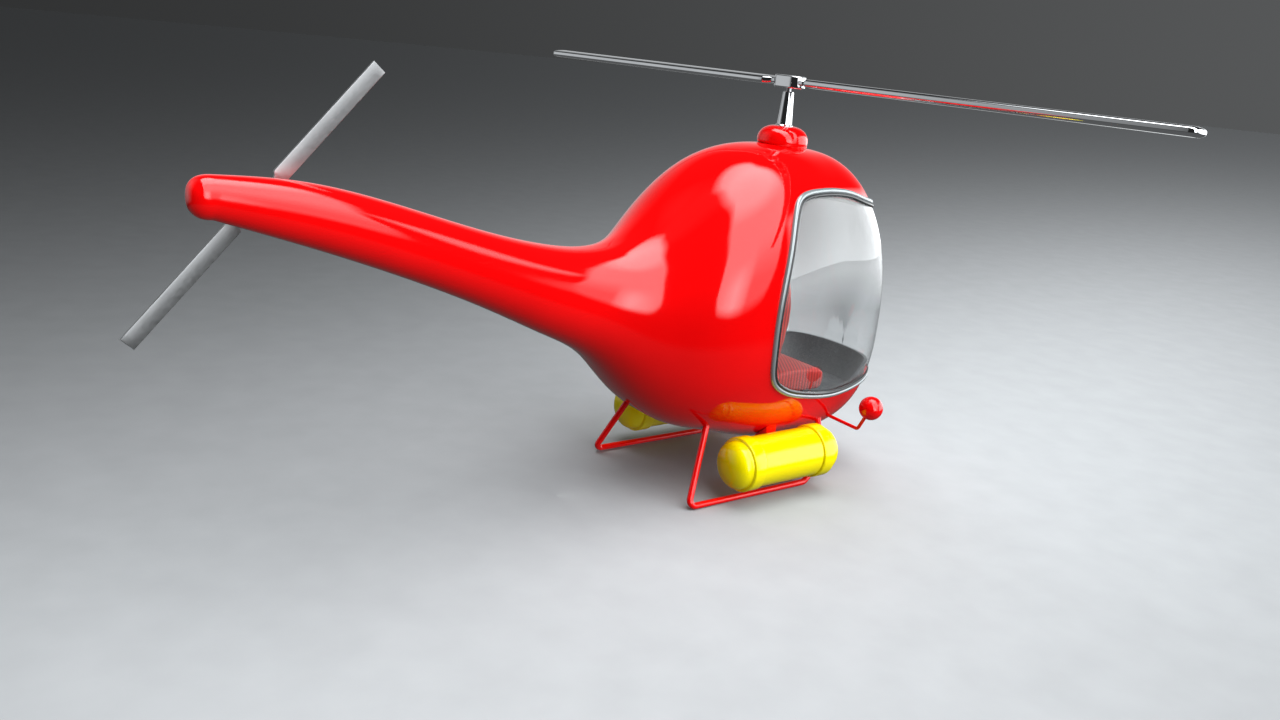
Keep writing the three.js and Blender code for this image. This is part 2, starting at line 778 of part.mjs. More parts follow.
const hubTopZ = rotorZ + hubHeight / 2;
const hubBottomZ = rotorZ - hubHeight / 2;
add('rotor_shaft', rod(mastAxis(shaftFootZ), mastAxis(hubTopZ - hubRoof - gap), shaftRadius), steel);
add('shaft_clip', ring(
  mastAxis(mastFootZ - gap - clipThickness),
  mastAxis(mastFootZ - gap),
  shaftRadius + gap + clipWidth,
  shaftRadius + gap,
), steel);

// The rotor head is drawn with its blades along Y, then turned to where it rests
const headTurn = new THREE.Matrix4().makeRotationZ(rad(rotorRestTurn));
const turnHead = (solid) => moved(solid, headTurn);

function hubBlock() {
  const outline = new THREE.Shape();
  const r = hubWidth / 2;
  const reach = hubLength / 2 - r;
  outline.moveTo(r, -reach);
  outline.lineTo(r, reach);
  outline.absarc(0, reach, r, 0, Math.PI);
  outline.lineTo(-r, -reach);
  outline.absarc(0, -reach, r, Math.PI, 2 * Math.PI);
  const geometry = new THREE.ExtrudeGeometry(outline, {
    depth: hubHeight - 2 * hubBevel,
    bevelThickness: hubBevel,
    bevelSize: hubBevel,
    bevelOffset: -hubBevel,
    bevelSegments: 1,
    curveSegments: 5,
  });
  geometry.translate(0, 0, hubBottomZ + hubBevel);
  return toSolid(geometry);
}
const bladePin = rod(
  V(0, bladePinOffset, hubBottomZ + gap),
  V(0, bladePinOffset, hubTopZ - gap),
  bladePinRadius,
  12,
);
const bladePinHole = rod(
  V(0, bladePinOffset, 0),
  V(0, bladePinOffset, far),
  bladePinRadius + gap,
  12,
);
const rootSlot = box(
  V(-bladeRootWidth / 2 - gap, bladeRootStart - gap, rotorZ - bladeRootHeight / 2 - gap),
  V(bladeRootWidth / 2 + gap, far, rotorZ + bladeRootHeight / 2 + gap),
);
const grubLength = hubWidth / 2 - shaftRadius - 2 * gap;
const grubLine = (x) => V(x, 0, rotorZ);
const hub = hubBlock()
  .subtract(rod(mastAxis(0), mastAxis(hubTopZ - hubRoof), shaftRadius + gap))
  .subtract(rootSlot)
  .subtract(mirrored(rootSlot))
  .subtract(bladePinHole)
  .subtract(mirrored(bladePinHole))
  .subtract(rod(grubLine(0), grubLine(far), grubRadius + gap, 12));
add('rotor_hub', turnHead(hub), chrome);
add('hub_grub_screw', turnHead(rod(
  grubLine(shaftRadius + gap),
  grubLine(shaftRadius + gap + grubLength),
  grubRadius,
  10,
)), steel);
add('blade_pin_port', turnHead(bladePin), steel);
add('blade_pin_starboard', turnHead(mirrored(bladePin)), steel);

// One main blade along +Y: root, shoulder, level bar and rounded tip
function mainBlade() {
  const widenFrom = hubLength / 2 + bladeRootClear;
  const widenTo = widenFrom + bladeShoulder;
  const places = [
    [bladeRootStart, bladeRootWidth, bladeRootHeight, 0],
    [widenFrom, bladeRootWidth, bladeRootHeight, 0],
    [widenTo, bladeChord, bladeThickness, 1],
    [rotorRadius - bladeTipRounding, bladeChord, bladeThickness, 1],
  ];
  for (const t of [0.5, 0.85, 1]) {
    const shrink = Math.sqrt(1 - (0.9 * t) ** 2);
    places.push([
      rotorRadius - bladeTipRounding * (1 - t),
      bladeChord - 2 * bladeTipRounding * (1 - shrink),
      bladeThickness * (0.3 + 0.7 * shrink),
      1,
    ]);
  }
  const sides = 16;
  const rings = places.map(([y, width, height, twist]) => {
    const ringPoints = [];
    for (let k = 0; k < sides; k += 1) {
      const angle = ((k + 0.5) / sides) * 2 * Math.PI;
      const [x, z] = rounded(angle, width / 2, height / 2, twist ? 3.2 : 6);
      const point = V(x, 0, z).applyAxisAngle(V(0, 1, 0), -rad(bladePitch) * twist);
      ringPoints.push(point.add(V(0, y, rotorZ)));
    }
    return ringPoints;
  });
  return toSolid(skinned(rings)).subtract(bladePinHole);
}
const blade = mainBlade();
const halfTurn = new THREE.Matrix4().makeRotationZ(Math.PI);
add('blade_port', turnHead(blade), chrome);
add('blade_starboard', turnHead(moved(blade, halfTurn)), chrome);

// ---------------------------------------------------------------- tail rotor

const tailBoreRadius = tailShaftRadius + runningGap;
const flangeOuterY = tailSkinY + gap + tailFlangeThickness;
const tailBush = ring(
  tailAxis(tailSkinY - 4),
  tailAxis(flangeOuterY),
  tailBushRadius,
  tailBoreRadius,
).add(ring(
  tailAxis(tailSkinY + gap),
  tailAxis(flangeOuterY),
  tailBushRadius + 1,
  tailBoreRadius,
));
add('tail_bush', tailBush, brass);

const tailHubInnerY = tailSkinY + tailHubStandoff;
const tailHubOuterY = tailHubInnerY + tailHubThickness;
const tailMiddleY = (tailHubInnerY + tailHubOuterY) / 2;
add('tail_shaft', rod(
  tailAxis(tailShaftInnerY),
  tailAxis(tailHubOuterY - hubRoof),
  tailShaftRadius,
  12,
), steel);
add('tail_clip', ring(
  tailAxis(0),
  tailAxis(clipThickness),
  tailShaftRadius + gap + clipWidth,
  tailShaftRadius + gap,
  14,
), steel);

// Drawn with the blades along X about the tail axis, then turned to where they rest
const tailTurn = new THREE.Matrix4().makeTranslation(tailX, 0, tailZ)
  .multiply(new THREE.Matrix4().makeRotationY(-rad(tailRestTurn)));
const turnTail = (solid) => moved(solid, tailTurn);
const tailPart = (reach, width, thickness) => box(
  V(reach[0], tailMiddleY - thickness / 2, -width / 2),
  V(reach[1], tailMiddleY + thickness / 2, width / 2),
);
const tailPinHole = rod(
  V(tailPinOffset, 0, 0),
  V(tailPinOffset, far, 0),
  tailPinRadius + gap,
  10,
);
const tailSlot = tailPart(
  [tailRootStart - gap, far],
  tailRootWidth + 2 * gap,
  tailBladeThickness + 2 * gap,
);
const otherWay = (solid) => moved(solid, new THREE.Matrix4().makeRotationY(Math.PI));
const tailHub = rod(V(0, tailHubInnerY, 0), V(0, tailHubOuterY, 0), tailHubRadius, 20)
  .subtract(rod(V(0, 0, 0), V(0, tailHubOuterY - hubRoof + gap, 0), tailShaftRadius + gap, 12))
  .subtract(tailSlot)
  .subtract(otherWay(tailSlot))
  .subtract(tailPinHole)
  .subtract(otherWay(tailPinHole));
add('tail_hub', turnTail(tailHub), satinGrey);

const tailBlade = tailPart([tailBladeStart, tailRadius], tailBladeWidth, tailBladeThickness)
  .add(tailPart([tailRootStart, tailBladeStart + 1], tailRootWidth, tailBladeThickness))
  .subtract(tailPinHole);
const tailPin = rod(
  V(tailPinOffset, tailHubInnerY + gap / 2, 0),
  V(tailPinOffset, tailHubOuterY - gap / 2, 0),
  tailPinRadius,
  10,
);
add('tail_blade_upper', turnTail(tailBlade), satinGrey);
add('tail_blade_lower', turnTail(otherWay(tailBlade)), satinGrey);
add('tail_pin_upper', turnTail(tailPin), steel);
add('tail_pin_lower', turnTail(otherWay(tailPin)), steel);

// ---------------------------------------------------------------- origin

// The origin is the middle of the whole model's base
const bounds = new THREE.Box3().setFromObject(model);
const middle = bounds.getCenter(V(0, 0, 0));
model.position.set(-middle.x, -middle.y, -bounds.min.z);

const helicopter = new THREE.Group();
helicopter.add(model);
export default helicopter;
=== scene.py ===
"""Looks for a toy helicopter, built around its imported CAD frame.

Metres, +X to the nose, +Y to port, +Z up. Shapes are drawn in millimetres with the mast axis at
x = 0 and the skids on z = 0, and place() moves them into the frame.
"""

import math

import bmesh
import bpy
import numpy as np
from mathutils import Matrix, Vector


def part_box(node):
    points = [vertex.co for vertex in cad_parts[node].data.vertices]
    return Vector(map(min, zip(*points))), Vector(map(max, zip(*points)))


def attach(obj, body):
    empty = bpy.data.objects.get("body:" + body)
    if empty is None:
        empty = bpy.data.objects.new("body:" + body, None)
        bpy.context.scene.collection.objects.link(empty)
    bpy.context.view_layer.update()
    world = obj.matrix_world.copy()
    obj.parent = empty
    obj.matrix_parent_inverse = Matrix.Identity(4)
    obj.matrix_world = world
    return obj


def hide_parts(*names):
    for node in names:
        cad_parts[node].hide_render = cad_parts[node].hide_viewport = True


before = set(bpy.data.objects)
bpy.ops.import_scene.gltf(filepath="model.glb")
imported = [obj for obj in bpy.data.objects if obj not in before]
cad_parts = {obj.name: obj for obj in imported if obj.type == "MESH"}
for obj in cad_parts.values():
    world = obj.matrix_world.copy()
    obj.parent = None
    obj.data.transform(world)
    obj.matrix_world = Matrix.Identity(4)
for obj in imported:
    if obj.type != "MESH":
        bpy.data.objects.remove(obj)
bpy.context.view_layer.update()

MM = 0.001
mast_low, mast_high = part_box("mast_tube")
MAST_X = (mast_low.x + mast_high.x) / 2


def place(points):
    """Drawing millimetres to frame metres."""
    return np.asarray(points, float) * MM + (MAST_X, 0, 0)


# ------------------------------------------------------------------ sizes, in millimetres

STATIONS = np.array([  # x, top z, bottom z, half width
    (-204, 113.25, 101.25, 5.5),
    (-180, 111.5, 93.75, 8.25),
    (-150, 104.5, 83.25, 10),
    (-120, 95.75, 71, 11.5),
    (-98, 91, 60.75, 13.75),
    (-80, 89.75, 50.5, 17.5),
    (-64, 94.25, 35, 26.25),
    (-50, 105.75, 25.5, 35.25),
    (-34, 119.25, 20.75, 39.75),
    (-14, 126, 15.5, 39.75),
    (8, 125.25, 13, 35.25),
])
NOSE_X, NOSE_Z, NOSE_FULLNESS = 49.25, 38, 2.6
BOOM_END_X, BOOM_END_FULLNESS = -210.25, 2.5
SECTION_FULLNESS = 2.4
SHELL_WALL = 1.6
OPENING_EDGE = [
    (58, 43), (40, 37.6), (16, 34.8), (-6, 38.2), (-20, 42.6), (-27.5, 49.5),
    (-30.2, 64), (-29.8, 79), (-27, 93), (-22.5, 106), (-16.5, 112.4),
    (-4, 114), (12, 113), (27, 109.4), (58, 103.5),
]
SHELL_SCREWS = [(-168, 97.5), (-108, 80), (-47, 92), (33, 22.8)]

# ------------------------------------------------------------------ fuselage surface


def natural_spline(xs, ys):
    """A natural cubic spline through points, as functions for its value and slope."""
    n = len(xs)
    h = np.diff(xs)
    a = np.eye(n)
    b = np.zeros(n)
    for i in range(1, n - 1):
        a[i, i - 1 : i + 2] = h[i - 1], 2 * (h[i - 1] + h[i]), h[i]
        b[i] = 6 * ((ys[i + 1] - ys[i]) / h[i] - (ys[i] - ys[i - 1]) / h[i - 1])
    m = np.linalg.solve(a, b)

    def parts(x):
        i = np.clip(np.searchsorted(xs, x) - 1, 0, n - 2)
        t = x - xs[i]
        return i, h[i], t, h[i] - t

    def value(x):
        i, w, t, u = parts(x)
        return (
            (m[i] * u**3 + m[i + 1] * t**3) / (6 * w)
            + (ys[i] / w - m[i] * w / 6) * u
            + (ys[i + 1] / w - m[i + 1] * w / 6) * t
        )

    def slope(x):
        i, w, t, u = parts(x)
        return (
            (m[i + 1] * t**2 - m[i] * u**2) / (2 * w)
            - (ys[i] / w - m[i] * w / 6)
            + (ys[i + 1] / w - m[i + 1] * w / 6)
        )

    return value, slope


REAR_X, FRONT_X = STATIONS[0, 0], STATIONS[-1, 0]
LINES = [natural_spline(STATIONS[:, 0], STATIONS[:, k]) for k in (1, 2, 3)]


def section(x):
    """Top z, bottom z and half width of the cross-sections at x."""
    x = np.asarray(x, float)
    inner = np.clip(x, REAR_X, FRONT_X)
    top, bottom, half = (value(inner) for value, _ in LINES)
    u = np.clip((x - FRONT_X) / (NOSE_X - FRONT_X), 0, 1)
    shrink = (1 - u**NOSE_FULLNESS) ** (1 / NOSE_FULLNESS)
    edge = [v(FRONT_X) + s(FRONT_X) * (x - FRONT_X) * (1 - u) for v, s in LINES]
    front = x > FRONT_X
    top = np.where(front, NOSE_Z + (edge[0] - NOSE_Z) * shrink, top)
    bottom = np.where(front, NOSE_Z + (edge[1] - NOSE_Z) * shrink, bottom)
    half = np.where(front, edge[2] * shrink, half)
    v = np.clip((REAR_X - x) / (REAR_X - BOOM_END_X), 0, 1)
    shrink = (1 - v**BOOM_END_FULLNESS) ** (1 / BOOM_END_FULLNESS)
    rear = x < REAR_X
    end_top, end_bottom, end_half = STATIONS[0, 1:]
    middle, rise = (end_top + end_bottom) / 2, (end_top - end_bottom) / 2
    top = np.where(rear, middle + rise * shrink, top)
    bottom = np.where(rear, middle - rise * shrink, bottom)
    half = np.where(rear, end_half * shrink, half)
    return top, bottom, half


def bulge(t, fullness=SECTION_FULLNESS):
    """A sine or cosine drawn out so that a circle becomes a fuller, rounded square."""
    return np.sign(t) * np.abs(t) ** (2 / fullness)


BOOM_SHARE, BODY_SHARE = 0.06, 0.7  # of the way along the surface's length coordinate


def skin(s, a):
    """Points of the fuselage skin: s runs 0 to 1 from boom end to nose, a turns from the top."""
    s, a = np.broadcast_arrays(np.asarray(s, float), np.asarray(a, float))
    tail = np.clip(s / BOOM_SHARE, 0, 1)
    body = np.clip((s - BOOM_SHARE) / (BODY_SHARE - BOOM_SHARE), 0, 1)
    nose = np.clip((s - BODY_SHARE) / (1 - BODY_SHARE), 0, 1)
    x = BOOM_END_X + (REAR_X - BOOM_END_X) * (1 - np.cos(tail * math.pi / 2))
    x = np.where(s > BOOM_SHARE, REAR_X + (FRONT_X - REAR_X) * body, x)
    x = np.where(s > BODY_SHARE, FRONT_X + (NOSE_X - FRONT_X) * np.sin(nose * math.pi / 2), x)
    top, bottom, half = section(x)
    y = half * bulge(np.sin(a))
    z = (top + bottom) / 2 + (top - bottom) / 2 * bulge(np.cos(a))
    return np.stack([x, y, z], -1)


def skin_normals(s, a):
    """Outward unit normals of the skin."""
    d = 1e-4
    s = np.clip(np.asarray(s, float), 2 * d, 1 - 2 * d)
    along = skin(s + d, a) - skin(s - d, a)
    around = skin(s, a + d) - skin(s, a - d)
    n = np.cross(along, around)
    return n / np.maximum(np.linalg.norm(n, axis=-1, keepdims=True), 1e-12)


def skin_y(x, z):
    """Half width of the skin at a place seen from the side."""
    top, bottom, half = section(x)
    t = np.clip(np.abs(2 * z - top - bottom) / (top - bottom), 0, 1)
    return half * (1 - t**SECTION_FULLNESS) ** (1 / SECTION_FULLNESS)


def skin_top(x, y):
    """Height of the skin's upper side at a place seen from above."""
    top, bottom, half = section(x)
    share = (1 - abs(y / half) ** SECTION_FULLNESS) ** (1 / SECTION_FULLNESS)
    return (top + bottom) / 2 + (top - bottom) / 2 * share


def curve_span(p0, p1, p2, p3, per_span):
    """The uniform Catmull-Rom curve from p1 up to p2, without p2 itself."""
    t = np.linspace(0, 1, per_span, endpoint=False)[:, None]
    v0, v1 = (p2 - p0) / 2, (p3 - p1) / 2
    cubic = 2 * p1 - 2 * p2 + v0 + v1
    square = -3 * p1 + 3 * p2 - 2 * v0 - v1
    return cubic * t**3 + square * t**2 + v0 * t + p1


def smooth_line(points, per_span):
    """A smooth line through 2-D points, its ends held."""
    p = np.asarray(points, float)
    p = np.vstack([2 * p[0] - p[1], p, 2 * p[-1] - p[-2]])
    spans = [curve_span(*p[i : i + 4], per_span) for i in range(len(p) - 3)]
    return np.vstack([*spans, p[-2:-1]])


def closed_outline(points, per_span=8):
    """A smooth closed line through 2-D points."""
    p = np.asarray(points, float)
    around = [[p[(i + k) % len(p)] for k in (-1, 0, 1, 2)] for i in range(len(p))]
    return np.vstack([curve_span(*four, per_span) for four in around])


OPENING_LINE = smooth_line(OPENING_EDGE, 24)


def inset_from_edge(x, z):
    """How far a place is inside the cabin opening's edge, seen from the side; minus outside."""
    q = np.stack([x, z], -1).reshape(-1, 2)
    a, b = OPENING_LINE[:-1], OPENING_LINE[1:]
    d = b - a
    best = np.full(len(q), np.inf)
    sign = np.ones(len(q))
    for p0, v in zip(a, d):
        t = np.clip(((q - p0) @ v) / (v @ v), 0, 1)
        off = q - p0 - t[:, None] * v
        dist = np.hypot(off[:, 0], off[:, 1])
        nearer = dist < best - 1e-9
        best = np.where(nearer, dist, best)
        side = v[1] * off[:, 0] - v[0] * off[:, 1]
        sign = np.where(nearer, np.where(side > 0, 1, -1), sign)
    return (best * sign).reshape(np.shape(x))


# ------------------------------------------------------------------ mesh helpers


def new_object(name, data):
    obj = bpy.data.objects.new(name, data)
    bpy.context.scene.collection.objects.link(obj)
    return obj


def mesh_object(name, points, faces, material, sharp_angle=40, metres=False):
    """A finished mesh from points, in drawing millimetres unless metres is set."""
    mesh = bpy.data.meshes.new(name)
    points = np.asarray(points, float) if metres else place(points)
    mesh.from_pydata(points.tolist(), [], [tuple(int(i) for i in f) for f in faces])
    mesh.validate()
    finish_mesh(mesh, material, sharp_angle)
    return new_object(name, mesh)


def vertex_places(mesh):
    places = np.empty(len(mesh.vertices) * 3)
    mesh.vertices.foreach_get("co", places)
    return places.reshape(-1, 3)


def finish_mesh(mesh, material, sharp_angle=40):
    """Merge doubles, point the faces outwards and give the mesh its one material."""
    bm = bmesh.new()
    bm.from_mesh(mesh)
    bmesh.ops.remove_doubles(bm, verts=bm.verts, dist=1e-7)
    if bm.faces and bm.calc_volume(signed=True) < 0:
        bmesh.ops.reverse_faces(bm, faces=bm.faces)
    bm.to_mesh(mesh)
    bm.free()
    mesh.materials.clear()
    mesh.materials.append(material)
    mesh.polygons.foreach_set("use_smooth", [True] * len(mesh.polygons))
    mesh.set_sharp_from_angle(angle=math.radians(sharp_angle))


def baked(obj, material, sharp_angle=40):
    """The evaluated object as one plain mesh, its modifiers removed."""
    depsgraph = bpy.context.evaluated_depsgraph_get()
    mesh = bpy.data.meshes.new_from_object(obj.evaluated_get(depsgraph))
    obj.modifiers.clear()
    obj.data = mesh
    finish_mesh(mesh, material, sharp_angle)
    return obj


def add_modifier(obj, kind, **settings):
    modifier = obj.modifiers.new(kind.title(), kind)
    for key, value in settings.items():
        setattr(modifier, key, value)
    return modifier


def combine(obj, other, operation, mat, sharp_angle=35):
    """Join, cut or trim a piece with another solid, which is used up."""
    add_modifier(obj, "BOOLEAN", object=other, operation=operation, solver="EXACT")
    baked(obj, mat, sharp_angle)
    bpy.data.objects.remove(other)


def ring_faces(rows, sides, closed=False):
    """Faces between rings of points in order; closed joins the last ring to the first."""
    faces = []
    for i in range(rows if closed else rows - 1):
        low, high = i * sides, (i + 1) % rows * sides
        for k in range(sides):
            k2 = (k + 1) % sides
            faces.append((low + k, low + k2, high + k2, high + k))
    return faces


def loft(name, rings, mat, sharp_angle=40):
    """A skin through closed rings of points, its ends filled."""
    rings = np.asarray(rings, float)
    n, m = rings.shape[:2]
    faces = ring_faces(n, m)
    faces.append(tuple(range(m))[::-1])
    faces.append(tuple(range((n - 1) * m, n * m)))
    return mesh_object(name, rings.reshape(-1, 3), faces, mat, sharp_angle)


def finished(obj, body, slot, *nodes):
    """Give a piece its body and hide the CAD nodes that it stands for; the material slot is not
    used.
    """
    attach(obj, body)
    if nodes:
        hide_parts(*nodes)
    return obj


def turned(name, profile, axis_point, axis, material, sides=96, sharp_angle=35):
    """A turned solid: profile of (radius, height) about an axis. Radius 0 closes an end."""
    axis = Vector(axis).normalized()
    across = axis.orthogonal().normalized()
    up = axis.cross(across)
    points, rows = [], []
    for r, h in profile:
        centre = Vector(axis_point) + axis * h
        if r < 1e-6:
            rows.append([len(points)])
            points.append(centre)
            continue
        rows.append(list(range(len(points), len(points) + sides)))
        for k in range(sides):
            angle = 2 * math.pi * k / sides
            points.append(centre + (across * math.cos(angle) + up * math.sin(angle)) * r)
    faces = []
    for lower, upper in zip(rows, rows[1:]):
        for k in range(sides):
            k2 = (k + 1) % sides
            if len(lower) == 1:
                faces.append((lower[0], upper[k2], upper[k]))
            elif len(upper) == 1:
                faces.append((lower[k], lower[k2], upper[0]))
            else:
                faces.append((lower[k], lower[k2], upper[k2], upper[k]))
    return mesh_object(name, [tuple(p) for p in points], faces, material, sharp_angle)


def arc_profile(centre, radius, start, end, steps):
    """Points of an arc in (radius, height), degrees from the outward direction."""
    angles = [math.radians(start + (end - start) * i / steps) for i in range(steps + 1)]
    return [(centre[0] + radius * math.cos(a), centre[1] + radius * math.sin(a)) for a in angles]


def mirrored_copy(obj, name):
    """The same piece on the other side of the centre plane."""
    mesh = obj.data.copy()
    mesh.name = name
    mesh.transform(Matrix.Scale(-1, 4, (0, 1, 0)))
    mesh.flip_normals()
    return new_object(name, mesh)


def finished_pair(obj, slot, node):
    """Finish a port piece of the airframe, and its mirrored copy to starboard."""
    stem = obj.name.removesuffix("_port")
    finished(mirrored_copy(obj, f"{stem}_starboard"), "airframe", slot, f"{node}_starboard")
    finished(obj, "airframe", slot, f"{node}_port")


# ------------------------------------------------------------------ shader node groups


FLOAT, COLOUR, VECTOR = "NodeSocketFloat", "NodeSocketColor", "NodeSocketVector"


def new_group(name, inputs):
    """An effect group: a Vector and other inputs; a colour, a roughness and a height out."""
    tree = bpy.data.node_groups.new(name, "ShaderNodeTree")
    for label, kind, value in [("Vector", VECTOR, (0, 0, 0)), *inputs]:
        socket = tree.interface.new_socket(label, in_out="INPUT", socket_type=kind)
        socket.default_value = value
    for label, kind in (("Colour", COLOUR), ("Roughness", FLOAT), ("Height", FLOAT)):
        tree.interface.new_socket(label, in_out="OUTPUT", socket_type=kind)
    return tree, tree.nodes.new("NodeGroupInput"), tree.nodes.new("NodeGroupOutput")


def maths(tree, operation, a, b=None):
    node = tree.nodes.new("ShaderNodeMath")
    node.operation = operation
    for socket, value in zip(node.inputs, (a, b)):
        if isinstance(value, bpy.types.NodeSocket):
            tree.links.new(value, socket)
        elif value is not None:
            socket.default_value = value
    return node.outputs[0]


def noise(tree, vector, scale, detail=2.0, roughness=0.5):
    node = tree.nodes.new("ShaderNodeTexNoise")
    node.inputs["Detail"].default_value = detail
    node.inputs["Roughness"].default_value = roughness
    tree.links.new(vector, node.inputs["Vector"])
    if isinstance(scale, bpy.types.NodeSocket):
        tree.links.new(scale, node.inputs["Scale"])
    else:
        node.inputs["Scale"].default_value = scale
    return node.outputs["Fac"]


def ranged(tree, value, low, high, from_low=0.3, from_high=0.7):
    """value mapped from one range to another, either of which may be sockets."""
    node = tree.nodes.new("ShaderNodeMapRange")
    tree.links.new(value, node.inputs["Value"])
    sockets = (("From Min", from_low), ("From Max", from_high), ("To Min", low), ("To Max", high))
    for label, setting in sockets:
        if isinstance(setting, bpy.types.NodeSocket):
            tree.links.new(setting, node.inputs[label])
        else:
            node.inputs[label].default_value = setting
    return node.outputs["Result"]


def mixed(tree, factor, a, b):
    node = tree.nodes.new("ShaderNodeMix")
    node.data_type = "RGBA"
    tree.links.new(factor, node.inputs[0])
    for socket, value in ((node.inputs[6], a), (node.inputs[7], b)):
        if isinstance(value, bpy.types.NodeSocket):
            tree.links.new(value, socket)
        else:
            socket.default_value = (*value[:3], 1)
    return node.outputs[2]


def close_group(tree, given, result, second, colour_mask, rough_mask, height, marks=None):
    """Blend a group's two colours and its two roughnesses by masks, and put them out."""
    colour = mixed(tree, colour_mask, given.outputs["Colour"], given.outputs[second])
    low, high = given.outputs["Roughness Low"], given.outputs["Roughness High"]
    rough = ranged(tree, rough_mask, low, high)
    if marks is not None:
        rough = maths(tree, "ADD", rough, marks)
    tree.links.new(colour, result.inputs["Colour"])
    tree.links.new(rough, result.inputs["Roughness"])
    tree.links.new(height, result.inputs["Height"])
    return tree


def make_polish_group():
    """Handled, polished moulding: faint ripple, hairline marks and cloudy shine."""
    tree, given, result = new_group(
        "polish",
        [
            ("Colour", COLOUR, (0.8, 0.8, 0.8, 1)),
            ("Deep Colour", COLOUR, (0.7, 0.7, 0.7, 1)),
            ("Roughness Low", FLOAT, 0.04),
            ("Roughness High", FLOAT, 0.1),
            ("Marks", FLOAT, 0.05),
        ],
    )
    vector = given.outputs["Vector"]
    cloud = noise(tree, vector, 38, 3)
    ripple = noise(tree, vector, 420, 1)
    stretch = tree.nodes.new("ShaderNodeMapping")
    stretch.inputs["Scale"].default_value = (120, 1500, 1500)
    stretch.inputs["Rotation"].default_value = (0.2, 0.5, 0.9)
    tree.links.new(vector, stretch.inputs["Vector"])
    lines = ranged(tree, noise(tree, stretch.outputs[0], 1, 2), 0, 1, 0.64, 0.72)
    marks = maths(tree, "MULTIPLY", lines, given.outputs["Marks"])
    deep = ranged(tree, cloud, 0, 1)
    return close_group(tree, given, result, "Deep Colour", deep, cloud, ripple, marks)


def make_grain_group():
    """Spark-eroded mould grain: fine pits with paler specks."""
    tree, given, result = new_group(
        "mould_grain",
        [
            ("Colour", COLOUR, (0.05, 0.05, 0.05, 1)),
            ("Speck Colour", COLOUR, (0.1, 0.1, 0.1, 1)),
            ("Scale", FLOAT, 1400),
            ("Roughness Low", FLOAT, 0.45),
            ("Roughness High", FLOAT, 0.65),
        ],
    )
    vector = given.outputs["Vector"]
    pits = noise(tree, vector, given.outputs["Scale"], 2, 0.6)
    cloud = noise(tree, vector, 60, 2)
    specks = ranged(tree, pits, 0, 1, 0.5, 0.75)
    return close_group(tree, given, result, "Speck Colour", specks, cloud, pits)


def make_turned_metal_group():
    """Machined or drawn metal: fine lines along one axis and cloudy tarnish."""
    tree, given, result = new_group(
        "machined",
        [
            ("Colour", COLOUR, (0.6, 0.6, 0.6, 1)),
            ("Dull Colour", COLOUR, (0.4, 0.4, 0.4, 1)),
            ("Line Scale", VECTOR, (1, 1, 1)),
            ("Roughness Low", FLOAT, 0.1),
            ("Roughness High", FLOAT, 0.3),
        ],
    )
    vector = given.outputs["Vector"]
    scaled = tree.nodes.new("ShaderNodeVectorMath")
    scaled.operation = "MULTIPLY"
    tree.links.new(vector, scaled.inputs[0])
    tree.links.new(given.outputs["Line Scale"], scaled.inputs[1])
    lines = noise(tree, scaled.outputs[0], 1, 3, 0.7)
    tarnish = ranged(tree, noise(tree, vector, 90, 3), 0, 1, 0.45, 0.8)
    return close_group(tree, given, result, "Dull Colour", tarnish, lines, lines)


POLISH = make_polish_group()
GRAIN = make_grain_group()
MACHINED = make_turned_metal_group()


def new_material(name):
    """An empty material with its output, a Principled shader and texture coordinates."""
    mat = bpy.data.materials.new(name)
    mat.use_nodes = True
    tree = mat.node_tree
    tree.nodes.clear()
    out = tree.nodes.new("ShaderNodeOutputMaterial")
    surface = tree.nodes.new("ShaderNodeBsdfPrincipled")
    return mat, tree, out, surface, tree.nodes.new("ShaderNodeTexCoord")


def bumped(tree, surface, height, strength, distance):
    """Let a height bump the surface; the distance is in metres."""
    node = tree.nodes.new("ShaderNodeBump")
    node.inputs["Strength"].default_value = strength
    node.inputs["Distance"].default_value = distance
    tree.links.new(height, node.inputs["Height"])
    tree.links.new(node.outputs["Normal"], surface.inputs["Normal"])


def material(name, group, settings, bump, distance=0.00002, **shader):
    """A material: one effect group on Object coordinates into a Principled shader."""
    mat, tree, out, surface, coords = new_material(name)
    effect = tree.nodes.new("ShaderNodeGroup")
    effect.node_tree = group
    for label, value in settings.items():
        effect.inputs[label].default_value = value
    tree.links.new(coords.outputs["Object"], effect.inputs["Vector"])
    tree.links.new(effect.outputs["Colour"], surface.inputs["Base Color"])
    tree.links.new(effect.outputs["Roughness"], surface.inputs["Roughness"])
    bumped(tree, surface, effect.outputs["Height"], bump, distance)
    for label, value in shader.items():
        surface.inputs[label.replace("_", " ")].default_value = value
    tree.links.new(surface.outputs[0], out.inputs["Surface"])
    return mat


def two_tone(colour, second_name, second, roughness):
    """The settings that every effect group has: two colours and the range of roughness."""
    return {
        "Colour": (*colour, 1),
        second_name: (*second, 1),
        "Roughness Low": roughness[0],
        "Roughness High": roughness[1],
    }


def polished(name, colour, deep, roughness, marks, **rest):
    settings = two_tone(colour, "Deep Colour", deep, roughness)
    return material(name, POLISH, {**settings, "Marks": marks}, **rest)


def grained(name, colour, speck, roughness, scale, **rest):
    settings = two_tone(colour, "Speck Colour", speck, roughness)
    return material(name, GRAIN, {**settings, "Scale": scale}, **rest)


def machined(name, colour, dull, roughness, lines, bump):
    settings = two_tone(colour, "Dull Colour", dull, roughness)
    return material(name, MACHINED, {**settings, "Line Scale": lines}, bump, Metallic=1.0)


